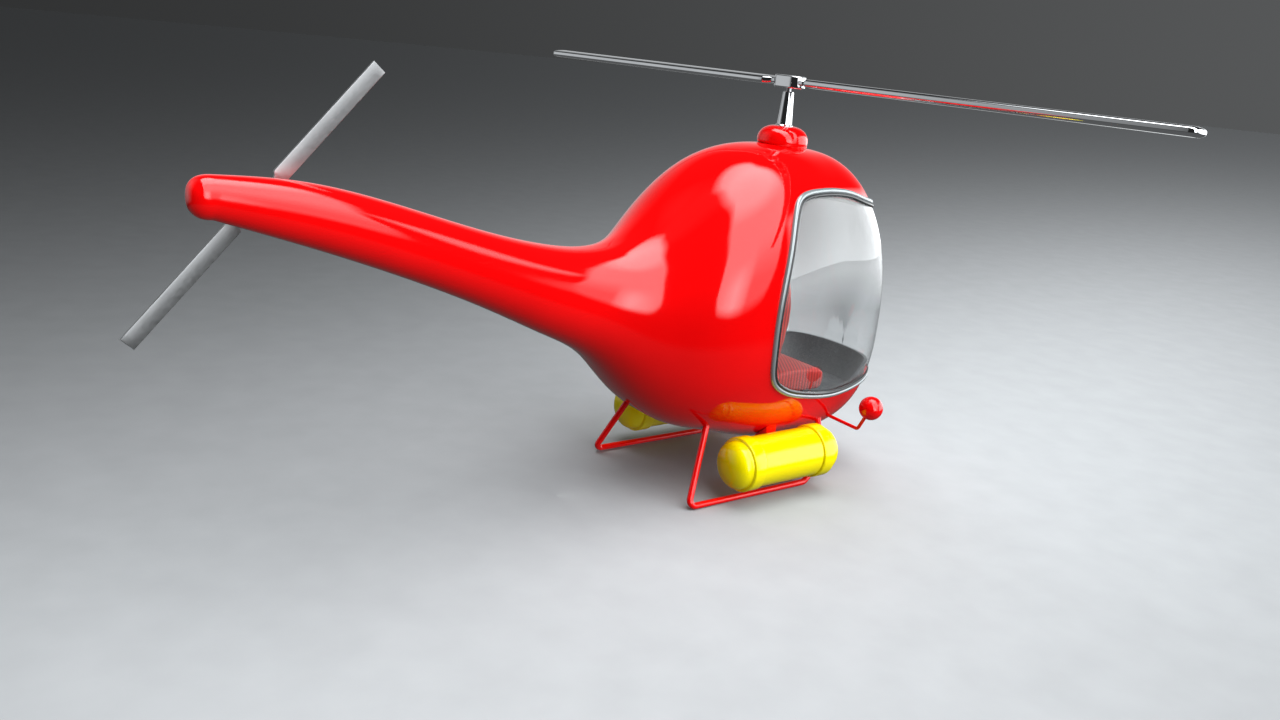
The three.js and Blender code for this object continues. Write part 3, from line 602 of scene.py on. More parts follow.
red = polished(
    "red_plastic", (0.86, 0.0015, 0.002), (0.8, 0.001, 0.0015), (0.035, 0.075), 0.03,
    bump=0.04, IOR=1.5,
)
yellow = polished(
    "yellow_plastic", (0.95, 0.83, 0.0), (0.93, 0.76, 0.0), (0.08, 0.16), 0.05,
    bump=0.06, IOR=1.5,
)
chrome = polished(
    "chrome", (0.82, 0.83, 0.84), (0.74, 0.75, 0.77), (0.03, 0.09), 0.06,
    bump=0.03, Metallic=1.0,
)
gasket_grey = polished(
    "grey_gasket", (0.36, 0.39, 0.4), (0.28, 0.31, 0.32), (0.16, 0.26), 0.06,
    bump=0.1, Metallic=0.45,
)
gasket_dark = polished(
    "dark_gasket_lip", (0.028, 0.03, 0.031), (0.02, 0.021, 0.022), (0.2, 0.35), 0.06, bump=0.1
)
satin = machined(
    "satin_aluminium", (0.37, 0.375, 0.38), (0.31, 0.315, 0.32), (0.3, 0.42), (900, 900, 900), 0.08
)
steel = machined("steel", (0.5, 0.5, 0.52), (0.3, 0.3, 0.32), (0.16, 0.34), (500, 500, 5000), 0.1)
brass = machined("brass", (0.72, 0.5, 0.2), (0.45, 0.28, 0.1), (0.16, 0.34), (500, 500, 5000), 0.1)
iron = grained(
    "ballast_iron", (0.12, 0.12, 0.12), (0.2, 0.19, 0.18), (0.5, 0.75), 700,
    bump=0.5, distance=0.0001, Metallic=0.8,
)
cabin_grey = grained(
    "cabin_plastic", (0.028, 0.031, 0.033), (0.075, 0.08, 0.083), (0.42, 0.6), 1500,
    bump=0.35, distance=0.00006,
)


def make_glass():
    """Clear thin moulding. Shadow rays pass it so that the cabin is lit."""
    mat, tree, out, surface, coords = new_material("clear_plastic")
    surface.inputs["Base Color"].default_value = (0.97, 0.98, 0.98, 1)
    surface.inputs["Transmission Weight"].default_value = 1.0
    surface.inputs["Metallic"].default_value = 0.0
    surface.inputs["IOR"].default_value = 1.45
    effect = tree.nodes.new("ShaderNodeGroup")
    effect.node_tree = POLISH
    effect.inputs["Roughness Low"].default_value = 0.0
    effect.inputs["Roughness High"].default_value = 0.02
    effect.inputs["Marks"].default_value = 0.02
    tree.links.new(coords.outputs["Object"], effect.inputs["Vector"])
    tree.links.new(effect.outputs["Roughness"], surface.inputs["Roughness"])
    clear = tree.nodes.new("ShaderNodeBsdfTransparent")
    path = tree.nodes.new("ShaderNodeLightPath")
    mix = tree.nodes.new("ShaderNodeMixShader")
    passes = maths(tree, "MAXIMUM", path.outputs["Is Shadow Ray"], path.outputs["Is Diffuse Ray"])
    tree.links.new(passes, mix.inputs[0])
    tree.links.new(surface.outputs[0], mix.inputs[1])
    tree.links.new(clear.outputs[0], mix.inputs[2])
    tree.links.new(mix.outputs[0], out.inputs["Surface"])
    return mat


glass = make_glass()


def make_seat_cloth():
    """Dark red ribbed cloth: diagonal ribs with painted shade in their grooves, thread noise and a
    soft sheen.
    """
    mat, tree, out, surface, coords = new_material("seat_cover")
    surface.inputs["Sheen Weight"].default_value = 0.06
    surface.inputs["Sheen Roughness"].default_value = 0.4
    surface.inputs["Roughness"].default_value = 0.7
    turn = tree.nodes.new("ShaderNodeMapping")
    turn.inputs["Rotation"].default_value = (0.0, 0.0, 0.62)
    tree.links.new(coords.outputs["Object"], turn.inputs["Vector"])
    ribs = tree.nodes.new("ShaderNodeTexWave")
    ribs.wave_type = "BANDS"
    ribs.bands_direction = "X"
    ribs.wave_profile = "SIN"
    ribs.inputs["Scale"].default_value = 260
    ribs.inputs["Distortion"].default_value = 0.6
    ribs.inputs["Detail"].default_value = 1.0
    tree.links.new(turn.outputs[0], ribs.inputs["Vector"])
    thread = noise(tree, coords.outputs["Object"], 2600, 2, 0.6)
    worn = noise(tree, coords.outputs["Object"], 70, 3)
    # one mask raises the ribs and colours them: the grooves are painted darker, a painted shade
    # over the cloth's own red
    rib_height_and_shade = maths(tree, "MULTIPLY", ribs.outputs["Fac"], ranged(tree, thread, 0.4, 1.2))
    cloth = mixed(tree, rib_height_and_shade, (0.12, 0.003, 0.0015), (0.5, 0.016, 0.006))
    faded = mixed(tree, ranged(tree, worn, 0, 0.35, 0.5, 0.75), cloth, (0.4, 0.03, 0.012))
    tree.links.new(faded, surface.inputs["Base Color"])
    bumped(tree, surface, rib_height_and_shade, 0.6, 0.0001)
    tree.links.new(surface.outputs[0], out.inputs["Surface"])
    return mat


seat_cloth = make_seat_cloth()

# ------------------------------------------------------------------ fuselage shells

CUT_HALVINGS = 18  # steps that find where a grid line meets the cut
SAME_WAY = 0.93  # a face this close to the skin's own normal lies on the skin


def exact_normals(points):
    """Outward normals of the skin at places on or near it, from the section rule."""
    p = np.asarray(points, float)

    def level(x, y, z):
        top, bottom, half = section(x)
        half = np.maximum(half, 1e-9)
        rise = np.maximum((top - bottom) / 2, 1e-9)
        t = np.abs(y / half) ** SECTION_FULLNESS
        t = t + np.abs((z - (top + bottom) / 2) / rise) ** SECTION_FULLNESS
        return t ** (1 / SECTION_FULLNESS)

    h = 1e-4
    x = np.clip(p[:, 0], BOOM_END_X + 2 * h, NOSE_X - 2 * h)
    y, z = p[:, 1], p[:, 2]
    n = np.stack(
        [
            level(x + h, y, z) - level(x - h, y, z),
            level(x, y + h, z) - level(x, y - h, z),
            level(x, y, z + h) - level(x, y, z - h),
        ],
        -1,
    )
    return n / np.maximum(np.linalg.norm(n, axis=1, keepdims=True), 1e-12)


def trimmed_grid(s, a, inset, keep_inside, wraps):
    """The skin on a grid, cut on the line at an inset from the cabin opening's edge.

    Vertices next to the line slide along the grid onto it, so the cut is clean.
    Returns places, unit normals and faces.
    """
    grid_s, grid_a = np.meshgrid(s, a, indexing="ij")
    sign = 1 if keep_inside else -1

    def distance(ss, aa):
        p = skin(ss, aa)
        return sign * (inset_from_edge(p[..., 0], p[..., 2]) - inset)

    d = distance(grid_s, grid_a)
    moved = np.full(d.shape, np.inf)
    new_s, new_a = grid_s.copy(), grid_a.copy()
    for axis in (0, 1):
        first = [slice(None), slice(None)]
        second = [slice(None), slice(None)]
        first[axis], second[axis] = slice(None, -1), slice(1, None)
        d0, d1 = d[tuple(first)], d[tuple(second)]
        rows, cols = np.nonzero((d0 > 0) != (d1 > 0))
        if len(rows) == 0:
            continue
        p0, p1 = (
            np.stack([grid_s[tuple(end)][rows, cols], grid_a[tuple(end)][rows, cols]], -1)
            for end in (first, second)
        )
        low, high = np.zeros(len(rows)), np.ones(len(rows))
        start_sign = d0[rows, cols] > 0
        for _ in range(CUT_HALVINGS):
            middle = (low + high) / 2
            q = p0 + (p1 - p0) * middle[:, None]
            same = (distance(q[:, 0], q[:, 1]) > 0) == start_sign
            low, high = np.where(same, middle, low), np.where(same, high, middle)
        t = (low + high) / 2
        q = p0 + (p1 - p0) * t[:, None]
        for k in range(len(rows)):
            near_first = t[k] < 0.5
            i = rows[k] + (0 if near_first or axis == 1 else 1)
            j = cols[k] + (0 if near_first or axis == 0 else 1)
            reach = min(t[k], 1 - t[k])
            if reach < moved[i, j]:
                moved[i, j] = reach
                new_s[i, j], new_a[i, j] = q[k]
    on_line = np.isfinite(moved)
    state = np.where(on_line, 0, np.where(d > 0, 1, -1))
    points, normals = skin(new_s, new_a), skin_normals(new_s, new_a)

    ns, na = d.shape
    index = np.arange(ns * na).reshape(ns, na)
    if wraps:
        index[:, -1] = index[:, 0]
        state[:, -1] = state[:, 0]
    index[0, :] = index[0, 0]
    index[-1, :] = index[-1, 0]
    faces = []
    for i in range(ns - 1):
        for j in range(na - 1):
            corners = [(i, j), (i, j + 1), (i + 1, j + 1), (i + 1, j)]
            states = [state[c] for c in corners]
            if max(states) <= 0:
                continue
            ids = [index[c] for c in corners]
            if min(states) < 0:
                zero = [k for k in range(4) if states[k] == 0]
                if len(zero) < 2 or (zero[1] - zero[0]) != 2:
                    continue
                k = zero[0]
                halves = ([k, k + 1, k + 2], [k + 2, (k + 3) % 4, k])
                for tri in halves:
                    tri = [t % 4 for t in tri]
                    if max(states[t] for t in tri) > 0:
                        faces.append([ids[t] for t in tri])
                continue
            ring = [ids[k] for k in range(4) if ids[k] != ids[k - 1]]
            if len(ring) > 2:
                faces.append(ring)
    used = np.unique(np.concatenate([np.asarray(f) for f in faces]))
    renumber = np.full(ns * na, -1)
    renumber[used] = np.arange(len(used))
    faces = [[int(renumber[v]) for v in f] for f in faces]
    return points.reshape(-1, 3)[used], normals.reshape(-1, 3)[used], faces


def thickened(points, normals, faces, wall):
    """A closed shell: the faces, their copy a wall further in, and rims between."""
    n = len(points)
    inner = points - normals * wall
    count = {}
    for f in faces:
        for u, v in zip(f, f[1:] + f[:1]):
            count[(u, v)] = count.get((u, v), 0) + 1
    rims = [(v, u, u + n, v + n) for (u, v) in count if (v, u) not in count]
    inside = [tuple(v + n for v in reversed(f)) for f in faces]
    return np.vstack([points, inner]), [*map(tuple, faces), *rims, *inside]


def hold_shine(obj):
    """Lock the skin's exact normals onto the faces that lie on it or on its inner side."""
    mesh = obj.data
    exact = exact_normals((vertex_places(mesh) - (MAST_X, 0, 0)) / MM)
    loop_vertex = np.empty(len(mesh.loops), int)
    mesh.loops.foreach_get("vertex_index", loop_vertex)
    face_normal = np.empty(len(mesh.polygons) * 3)
    mesh.polygons.foreach_get("normal", face_normal)
    face_normal = face_normal.reshape(-1, 3)
    totals = np.empty(len(mesh.polygons), int)
    mesh.polygons.foreach_get("loop_total", totals)
    loop_face = np.repeat(np.arange(len(totals)), totals)
    wanted = exact[loop_vertex]
    agree = np.einsum("ij,ij->i", wanted, face_normal[loop_face])
    loop_normals = np.where(agree[:, None] > SAME_WAY, wanted, 0.0)
    loop_normals = np.where(agree[:, None] < -SAME_WAY, -wanted, loop_normals)
    mesh.normals_split_custom_set(loop_normals.tolist())


RINGS, HALF_SIDES = 250, 92
TAIL_RINGS, BODY_RINGS = 0.08, 0.62  # shares of the rings; the nose has the rest
HULL_INSET, GLASS_INSET = 0.9, 1.7  # from the opening's edge
GLASS_WALL = 1.2
SCREW_SEAT_Y, COUNTERBORE_RADIUS, BOSS_WALL = 5.5, 2.3, 1.0
BOSS_START_Y, BOSS_BELOW_SKIN = 2, 3.4
PAST_SKIN_Y = 60  # wider than half the body anywhere


def ring_places(count):
    """Places along the fuselage, closer together at both ends."""
    tail = np.linspace(0, BOOM_SHARE, int(count * TAIL_RINGS), endpoint=False)
    body = np.linspace(BOOM_SHARE, BODY_SHARE, int(count * BODY_RINGS), endpoint=False)
    nose = np.linspace(BODY_SHARE, 1, count - len(tail) - len(body))
    return np.concatenate([tail, body, nose])


def fuselage_shell(side):
    """One half of the fuselage; side is 1 for port and -1 for starboard."""
    a = np.linspace(0, math.pi, HALF_SIDES)
    points, normals, faces = trimmed_grid(
        ring_places(RINGS), a, HULL_INSET, keep_inside=False, wraps=False
    )
    points[:, 1] = np.maximum(points[:, 1], 0)
    normals[points[:, 1] < 1e-6, 1] = 0
    points, faces = thickened(points, normals, faces, SHELL_WALL)
    points[:, 1] *= side
    name = "fuselage_shell_port" if side > 0 else "fuselage_shell_starboard"
    return mesh_object(name, points, faces, red, 30)


def pin(name, start, end, radius):
    """A plain cylinder between two places, used to add to or cut the shells."""
    start, end = Vector(start), Vector(end)
    length = (end - start).length
    profile = [(0, 0), (radius, 0), (radius, length), (0, length)]
    return turned(name, profile, start, end - start, red, sides=48)


hull_port = fuselage_shell(1)
hull_starboard = fuselage_shell(-1)
for x, z in SHELL_SCREWS:
    boss_end = float(skin_y(x, z)) - BOSS_BELOW_SKIN
    boss = pin("boss", (x, BOSS_START_Y, z), (x, boss_end, z), COUNTERBORE_RADIUS + BOSS_WALL)
    combine(hull_port, boss, "UNION", red, 30)
    bore = pin("bore", (x, SCREW_SEAT_Y, z), (x, PAST_SKIN_Y, z), COUNTERBORE_RADIUS)
    combine(hull_port, bore, "DIFFERENCE", red, 30)
hold_shine(hull_port)
hold_shine(hull_starboard)
finished(hull_port, "airframe", "red_plastic", "fuselage_port_shell")
finished(hull_starboard, "airframe", "red_plastic", "fuselage_starboard_shell")

# ------------------------------------------------------------------ windshield and its gasket

glass_points, glass_normals, glass_faces = trimmed_grid(
    ring_places(RINGS),
    np.linspace(0, 2 * math.pi, 2 * HALF_SIDES - 1),
    GLASS_INSET,
    keep_inside=True,
    wraps=True,
)
windshield_glass = mesh_object(
    "windshield_glass",
    *thickened(glass_points, glass_normals, glass_faces, GLASS_WALL),
    glass,
    30,
)
hold_shine(windshield_glass)
finished(windshield_glass, "airframe", "clear_plastic", "windshield")


def edge_loop(inset, step=0.9):
    """The opening's edge on the skin at an inset, as a closed loop, with its inset direction."""
    tangent = np.gradient(OPENING_LINE, axis=0)
    tangent /= np.linalg.norm(tangent, axis=1, keepdims=True)
    inward = np.stack([tangent[:, 1], -tangent[:, 0]], -1)
    line = OPENING_LINE + inward * inset

    def outside(q):
        x = min(q[0], NOSE_X - 1e-6)
        top, bottom, _ = section(x)
        return q[0] > NOSE_X or q[1] > top or q[1] < bottom

    inside = np.array([not outside(q) for q in line])
    first, last = np.nonzero(inside)[0][[0, -1]]

    def crossing(i_out, i_in):
        low, high = 0.0, 1.0
        for _ in range(40):
            t = (low + high) / 2
            if outside(line[i_out] + (line[i_in] - line[i_out]) * t):
                low = t
            else:
                high = t
        return line[i_out] + (line[i_in] - line[i_out]) * high

    ends = crossing(first - 1, first), crossing(last + 1, last)
    path = np.vstack([ends[0], line[first : last + 1], ends[1]])
    inward = np.vstack([inward[first - 1], inward[first : last + 1], inward[last + 1]])
    length = np.concatenate([[0], np.cumsum(np.linalg.norm(np.diff(path, axis=0), axis=1))])
    # closer sampling towards both ends, where the side turns across the front
    u = np.linspace(0, 1, 900)
    for _ in range(2):
        u = 0.5 - 0.5 * np.cos(u * math.pi)
    at = u * length[-1]
    xz = np.stack([np.interp(at, length, path[:, k]) for k in (0, 1)], -1)
    inward = np.stack([np.interp(at, length, inward[:, k]) for k in (0, 1)], -1)
    y = skin_y(xz[:, 0], xz[:, 1])
    y[[0, -1]] = 0
    side = np.stack([xz[:, 0], y, xz[:, 1]], -1)
    loop = np.vstack([side, (side * (1, -1, 1))[::-1][1:-1]])
    inward = np.vstack([inward, inward[::-1][1:-1]])
    loop_closed = np.vstack([loop, loop[:1]])
    inward_closed = np.vstack([inward, inward[:1]])
    length = np.concatenate(
        [[0], np.cumsum(np.linalg.norm(np.diff(loop_closed, axis=0), axis=1))]
    )
    count = int(length[-1] / step)
    at = np.linspace(0, length[-1], count, endpoint=False)
    loop = np.stack([np.interp(at, length, loop_closed[:, k]) for k in range(3)], -1)
    inward = np.stack([np.interp(at, length, inward_closed[:, k]) for k in (0, 1)], -1)
    return loop, inward


def blurred(values, rounds):
    """A closed row of values, each eased towards its neighbours."""
    for _ in range(rounds):
        values = (np.roll(values, 1, 0) + 2 * values + np.roll(values, -1, 0)) / 4
    return values


def bead(name, inset, profile, mat):
    """A bead on the skin along the opening's edge. Profile: (across, height over the skin)."""
    loop, inward = edge_loop(inset)
    smooth = blurred(loop, 3)
    normals = exact_normals(smooth)
    along = np.roll(smooth, -2, 0) - np.roll(smooth, 2, 0)
    along /= np.linalg.norm(along, axis=1, keepdims=True)
    across = np.cross(along, normals)
    across /= np.linalg.norm(across, axis=1, keepdims=True)
    inward3 = np.stack([inward[:, 0], np.zeros(len(inward)), inward[:, 1]], -1)
    gain = np.einsum("ij,ij->i", across, inward3)
    across *= np.sign(np.median(gain))
    # a side view squeezes the bead where the skin turns across the front: widen it there
    stretch = blurred(1 / np.clip(np.abs(gain), 0.72, 1), 6)
    across = blurred(across, 6)
    across /= np.linalg.norm(across, axis=1, keepdims=True)
    rows = [smooth + across * (w * stretch)[:, None] + normals * h for w, h in profile]
    points = np.stack(rows, 1)
    faces = ring_faces(*points.shape[:2], closed=True)
    return mesh_object(name, points.reshape(-1, 3), faces, mat, 50)


def dome_section(half_width, height, foot, fullness=2.3, steps=12):
    """A rounded bead section standing on the skin, its foot sunk a little."""
    section_points = [(-half_width, -foot)]
    for i in range(steps + 1):
        angle = math.pi * (1 - i / steps)
        w = float(bulge(math.cos(angle), fullness)) * half_width
        section_points.append((w, float(bulge(math.sin(angle), fullness)) * height))
    section_points.append((half_width, -foot))
    return section_points


gasket = bead("windshield_bead", 0.85, dome_section(0.85, 1.1, 0.35), gasket_grey)
finished(gasket, "airframe", "grey_gasket", "windshield_gasket")
gasket_lip = bead("windshield_lip", 2.1, dome_section(0.62, 0.8, 0.45), gasket_dark)
finished(gasket_lip, "airframe", "grey_gasket")

# ------------------------------------------------------------------ mast and main rotor

FAIRING_RADIUS, FAIRING_TOP, FAIRING_CROWN = 9.4, 132.8, 5.5
FAIRING_SKIRT = ((9.3, 0.55), (8.9, 0.1), (8.5, -0.6))  # radius, height over the skin
MAST_BASE_RADIUS, MAST_TOP_RADIUS, MAST_TOP = 2.75, 2.0, 145.1
MAST_FOOT, FLANGE_LOW, FLANGE_HIGH, FLANGE_RADIUS, COLLAR = 114, 120.9, 122.9, 5, 0.45
ROTOR_Z, ROTOR_RADIUS, ROTOR_REST = 148.6, 150.0, math.radians(2.35)


def rotor_fairing():
    """The red bun at the mast's foot: a rounded crown over a crease and a spreading skirt."""
    angles = [2 * math.pi * k / 120 for k in range(120)]
    profile = [(MAST_BASE_RADIUS + 0.05, FAIRING_TOP - 0.5)]
    reach = FAIRING_RADIUS - MAST_BASE_RADIUS
    for i in range(1, 29):
        angle = (i / 28) * (math.pi / 2)
        r = float(bulge(math.sin(angle), 2.2)) * reach + MAST_BASE_RADIUS
        z = float(bulge(math.cos(angle), 2.2)) * FAIRING_CROWN + FAIRING_TOP - FAIRING_CROWN
        profile.append((r, z))
    rings = [[(r * math.cos(a), r * math.sin(a), z) for a in angles] for r, z in profile]
    for r, lift in FAIRING_SKIRT:
        around = [(r * math.cos(a), r * math.sin(a)) for a in angles]
        rings.append([(x, y, float(skin_top(x, y)) + lift) for x, y in around])
    return loft("rotor_bun", rings, red, 60)


finished(rotor_fairing(), "airframe", "red_plastic", "rotor_fairing")

MAST_PROFILE = [
    (0, MAST_FOOT), (MAST_BASE_RADIUS, MAST_FOOT), (MAST_BASE_RADIUS, FLANGE_LOW),
    (FLANGE_RADIUS, FLANGE_LOW), (FLANGE_RADIUS, FLANGE_HIGH), (MAST_BASE_RADIUS, FLANGE_HIGH),
    (MAST_BASE_RADIUS, FAIRING_TOP - 0.6), (MAST_BASE_RADIUS + COLLAR, FAIRING_TOP - 0.4),
    (MAST_BASE_RADIUS + COLLAR, FAIRING_TOP + 0.25), (MAST_BASE_RADIUS + 0.2, FAIRING_TOP + 0.5),
    (MAST_BASE_RADIUS, FAIRING_TOP + 0.55), (2.45, 137.5), (2.2, 141.5),
    (MAST_TOP_RADIUS, MAST_TOP - 0.4), (MAST_TOP_RADIUS - 0.12, MAST_TOP - 0.12),
    (MAST_TOP_RADIUS - 0.4, MAST_TOP), (0.98, MAST_TOP), (0.98, MAST_TOP - 5), (0, MAST_TOP - 5),
]
mast = turned("mast", MAST_PROFILE, (0, 0, 0), (0, 0, 1), chrome, 96, 30)
finished(mast, "airframe", "chrome", "mast_tube")


MAST_FRAME = Matrix.Translation(Vector(place((0, 0, 0))))


def turn_head(obj):
    """Turn a piece drawn with the blades along Y to where the rotor rests."""
    turn = Matrix.Rotation(ROTOR_REST, 4, "Z")
    obj.data.transform(MAST_FRAME @ turn @ MAST_FRAME.inverted())
    return obj


def hub_block():
    """The hub: a block with round ends, its edges eased."""
    length, width, height, ease = 13.0, 7.0, 4.4, 0.55
    r, reach = width / 2, (length - width) / 2
    outline = []
    for sign in (1, -1):
        for i in range(33):
            angle = math.pi * i / 32 + (0 if sign > 0 else math.pi)
            outline.append((math.cos(angle), math.sin(angle), sign * reach))
    levels = []
    for i in range(7):
        t = math.pi / 2 * i / 6
        levels.append((ease * (1 - math.sin(t)), -height / 2 + ease * (1 - math.cos(t))))
    levels += [(inset, -z) for inset, z in reversed(levels)]
    rings = [
        [((r - inset) * c, (r - inset) * s + shift, ROTOR_Z + z) for c, s, shift in outline]
        for inset, z in levels
    ]
    return turn_head(loft("hub_block", rings, chrome, 40))


finished(hub_block(), "main_rotor", "chrome", "rotor_hub")


def main_blade(name, way):
    """A level bar from the hub, widening over a shoulder, with a rounded tip."""
    chord, thick, root_w, root_h = 8.0, 2.9, 4.0, 2.0
    start, widen_from, widen_to, rounding = 6.2, 7.5, 11.0, 2.2
    root_fullness, fullness_drop, tip_fullness = 4.0, 0.8, 3.2
    pitch, sides = math.radians(4), 56
    places = [(start, root_w, root_h, 0.0, root_fullness)]  # y, width, height, twist, fullness
    for i in range(9):
        t = i / 8
        ease = t * t * (3 - 2 * t)
        y = widen_from + (widen_to - widen_from) * t
        w, h = root_w + (chord - root_w) * ease, root_h + (thick - root_h) * ease
        places.append((y, w, h, ease, root_fullness - fullness_drop * ease))
    for y in np.linspace(widen_to + 3, ROTOR_RADIUS - rounding, 24):
        places.append((y, chord, thick, 1.0, tip_fullness))
    for i in range(1, 13):
        t = math.sin(math.pi / 2 * i / 12)
        shrink = math.sqrt(max(0.0, 1 - (t**2)))
        w, h = chord - 2 * rounding * (1 - shrink), thick * (0.18 + 0.82 * shrink)
        places.append((ROTOR_RADIUS - rounding * (1 - t), w, h, 1.0, tip_fullness))
    rings = []
    for y, w, h, twist, fullness in places:
        angle = 2 * math.pi * (np.arange(sides) + 0.5) / sides
        x = w / 2 * bulge(np.cos(angle), fullness)
        z = h / 2 * bulge(np.sin(angle), fullness)
        c, s = math.cos(-pitch * twist), math.sin(-pitch * twist)
        x, z = c * x + s * z, c * z - s * x
        rings.append(np.stack([x * way, np.full(sides, y * way), ROTOR_Z + z], -1))
    return turn_head(loft(name, rings, chrome, 50))


finished(main_blade("main_blade_port", 1), "main_rotor", "chrome", "blade_port")
finished(main_blade("main_blade_starboard", -1), "main_rotor", "chrome", "blade_starboard")

# ------------------------------------------------------------------ tail rotor

TAIL_X, TAIL_Z, TAIL_RADIUS, TAIL_REST = -188.1, 103.9, 52.8, math.radians(47.9)
TAIL_HUB_GAP, TAIL_HUB_THICK = 3.8, 3.0
TAIL_HUB_Y = float(skin_y(TAIL_X, TAIL_Z)) + TAIL_HUB_GAP


def turn_tail(obj):
    """Turn a piece drawn with the blades along X about the tail axis to where it rests."""
    shift = Matrix.Translation(Vector((TAIL_X * MM, 0, TAIL_Z * MM)))
    turn = Matrix.Rotation(-TAIL_REST, 4, "Y")
    obj.data.transform(MAST_FRAME @ shift @ turn @ MAST_FRAME.inverted())
    return obj


def rounded_bar(w, t, corner):
    """The section of a flat bar, its four corners eased."""
    points = []
    for cx, cy, start in ((1, 1, 0), (-1, 1, 90), (-1, -1, 180), (1, -1, 270)):
        for i in range(5):
            angle = math.radians(start + 90 * i / 4)
            across = cx * (w / 2 - corner) + corner * math.cos(angle)
            points.append((across, cy * (t / 2 - corner) + corner * math.sin(angle)))
    return points


def tail_blade(name, way):
    """A flat bar with eased edges and a narrow root."""
    width, thick, ease = 4.7, 1.0, 0.14
    middle = TAIL_HUB_Y + TAIL_HUB_THICK / 2
    places = [(4.2, 2.2), (8.2, 2.2), (8.9, 3.2), (9.3, 4.3), (9.8, width)]
    places += [(x, width) for x in np.linspace(12, TAIL_RADIUS - ease, 18)]
    bars = [(x, rounded_bar(w, thick, ease)) for x, w in places]
    for i in range(1, 5):
        angle = math.pi / 2 * i / 4
        pull = ease * (1 - math.cos(angle))
        corner = ease - pull + 0.01
        bar = rounded_bar(width - 2 * pull, thick - 2 * pull, corner)
        bars.append((TAIL_RADIUS - ease + ease * math.sin(angle), bar))
    rings = np.array([[(x, middle + t, z) for z, t in bar] for x, bar in bars])
    rings[..., 0] *= way
    return turn_tail(loft(name, rings, satin, 30))


finished(tail_blade("tail_bar_upper", 1), "tail_rotor", "satin_aluminium", "tail_blade_upper")
finished(tail_blade("tail_bar_lower", -1), "tail_rotor", "satin_aluminium", "tail_blade_lower")

TAIL_HUB_PROFILE = [
    (0.85, 0), (4.2, 0), (4.6, 0.4), (4.6, 2.6), (4.2, 3.0), (2.4, 3.0), (1.9, 3.25), (0.9, 3.4),
    (0, 3.45),
]
tail_hub = turned(
    "tail_boss", TAIL_HUB_PROFILE, (TAIL_X, TAIL_HUB_Y, TAIL_Z), (0, 1, 0), satin, 72, 30
)
finished(tail_hub, "tail_rotor", "satin_aluminium", "tail_hub")

# ------------------------------------------------------------------ rods, laid on paths

ROD_RADIUS = 1.2
SKID_TRACK, SKID_REAR, SKID_FRONT = 30.1, -51.2, 6.15
REAR_STRUT_TOP, FRONT_STRUT_TOP = (-39, 21.2, 29.4), (18.5, 21.2, 22.8)
FRONT_KNEE = (16, 28, 8.5)
SKID_BENDS = [2.2, 4, 4]
STRUT_REACH = 5.6  # into the belly, past the skin
ROD_EASE = 0.004  # keeps the skid's underside clear of the floor


def rounded_path(points, bends, steps=14):
    """A path through corners, each rounded to its bend radius."""
    points = [Vector(p) for p in points]
    line = [points[0]]
    for i, bend in enumerate(bends, 1):
        back = (points[i - 1] - points[i]).normalized()
        on = (points[i + 1] - points[i]).normalized()
        half = back.angle(on) / 2
        setback = bend / math.tan(half)
        start, end = points[i] + back * setback, points[i] + on * setback
        centre = points[i] + (back + on).normalized() * bend / math.sin(half)
        for k in range(steps + 1):
            spoke = start.lerp(end, k / steps) - centre
            line.append(centre + spoke.normalized() * bend)
    line.append(points[-1])
    return line


def rod_tree():
    """Geometry Nodes: a path becomes a round rod of a given radius and finish."""
    tree = bpy.data.node_groups.new("bent_rod", "GeometryNodeTree")
    face = tree.interface
    face.new_socket("Path", in_out="INPUT", socket_type="NodeSocketGeometry")
    radius = face.new_socket("Radius", in_out="INPUT", socket_type="NodeSocketFloat")
    sides = face.new_socket("Sides", in_out="INPUT", socket_type="NodeSocketInt")
    finish = face.new_socket("Finish", in_out="INPUT", socket_type="NodeSocketMaterial")
    face.new_socket("Rod", in_out="OUTPUT", socket_type="NodeSocketGeometry")
    nodes, links = tree.nodes, tree.links
    given, result = nodes.new("NodeGroupInput"), nodes.new("NodeGroupOutput")
    curve = nodes.new("GeometryNodeMeshToCurve")
    ring = nodes.new("GeometryNodeCurvePrimitiveCircle")
    sweep = nodes.new("GeometryNodeCurveToMesh")
    sweep.inputs["Fill Caps"].default_value = True
    real = nodes.new("GeometryNodeRealizeInstances")
    paint = nodes.new("GeometryNodeSetMaterial")
    links.new(given.outputs["Path"], curve.inputs["Mesh"])
    links.new(given.outputs["Radius"], ring.inputs["Radius"])
    links.new(given.outputs["Sides"], ring.inputs["Resolution"])
    links.new(curve.outputs["Curve"], sweep.inputs["Curve"])
    links.new(ring.outputs["Curve"], sweep.inputs["Profile Curve"])
    links.new(sweep.outputs["Mesh"], real.inputs["Geometry"])
    links.new(real.outputs["Geometry"], paint.inputs["Geometry"])
    links.new(given.outputs["Finish"], paint.inputs["Material"])
    links.new(paint.outputs["Geometry"], result.inputs["Rod"])
    return tree, [socket.identifier for socket in (radius, sides, finish)]


ROD_TREE, ROD_INPUTS = rod_tree()


def rod(name, line, radius, mat, sides=32):
    """A round rod along a path."""
    mesh = bpy.data.meshes.new(name)
    path = place([tuple(p) for p in line])
    mesh.from_pydata(path.tolist(), [(i, i + 1) for i in range(len(path) - 1)], [])
    obj = new_object(name, mesh)
    modifier = add_modifier(obj, "NODES", node_group=ROD_TREE)
    for identifier, value in zip(ROD_INPUTS, (radius * MM, sides, mat)):
        modifier[identifier] = value
    return baked(obj, mat)


def strut_end(entry, foot):
    """Where a strut that comes up from its foot ends, inside the belly."""
    entry, foot = Vector(entry), Vector(foot)
    return entry + (entry - foot).normalized() * STRUT_REACH


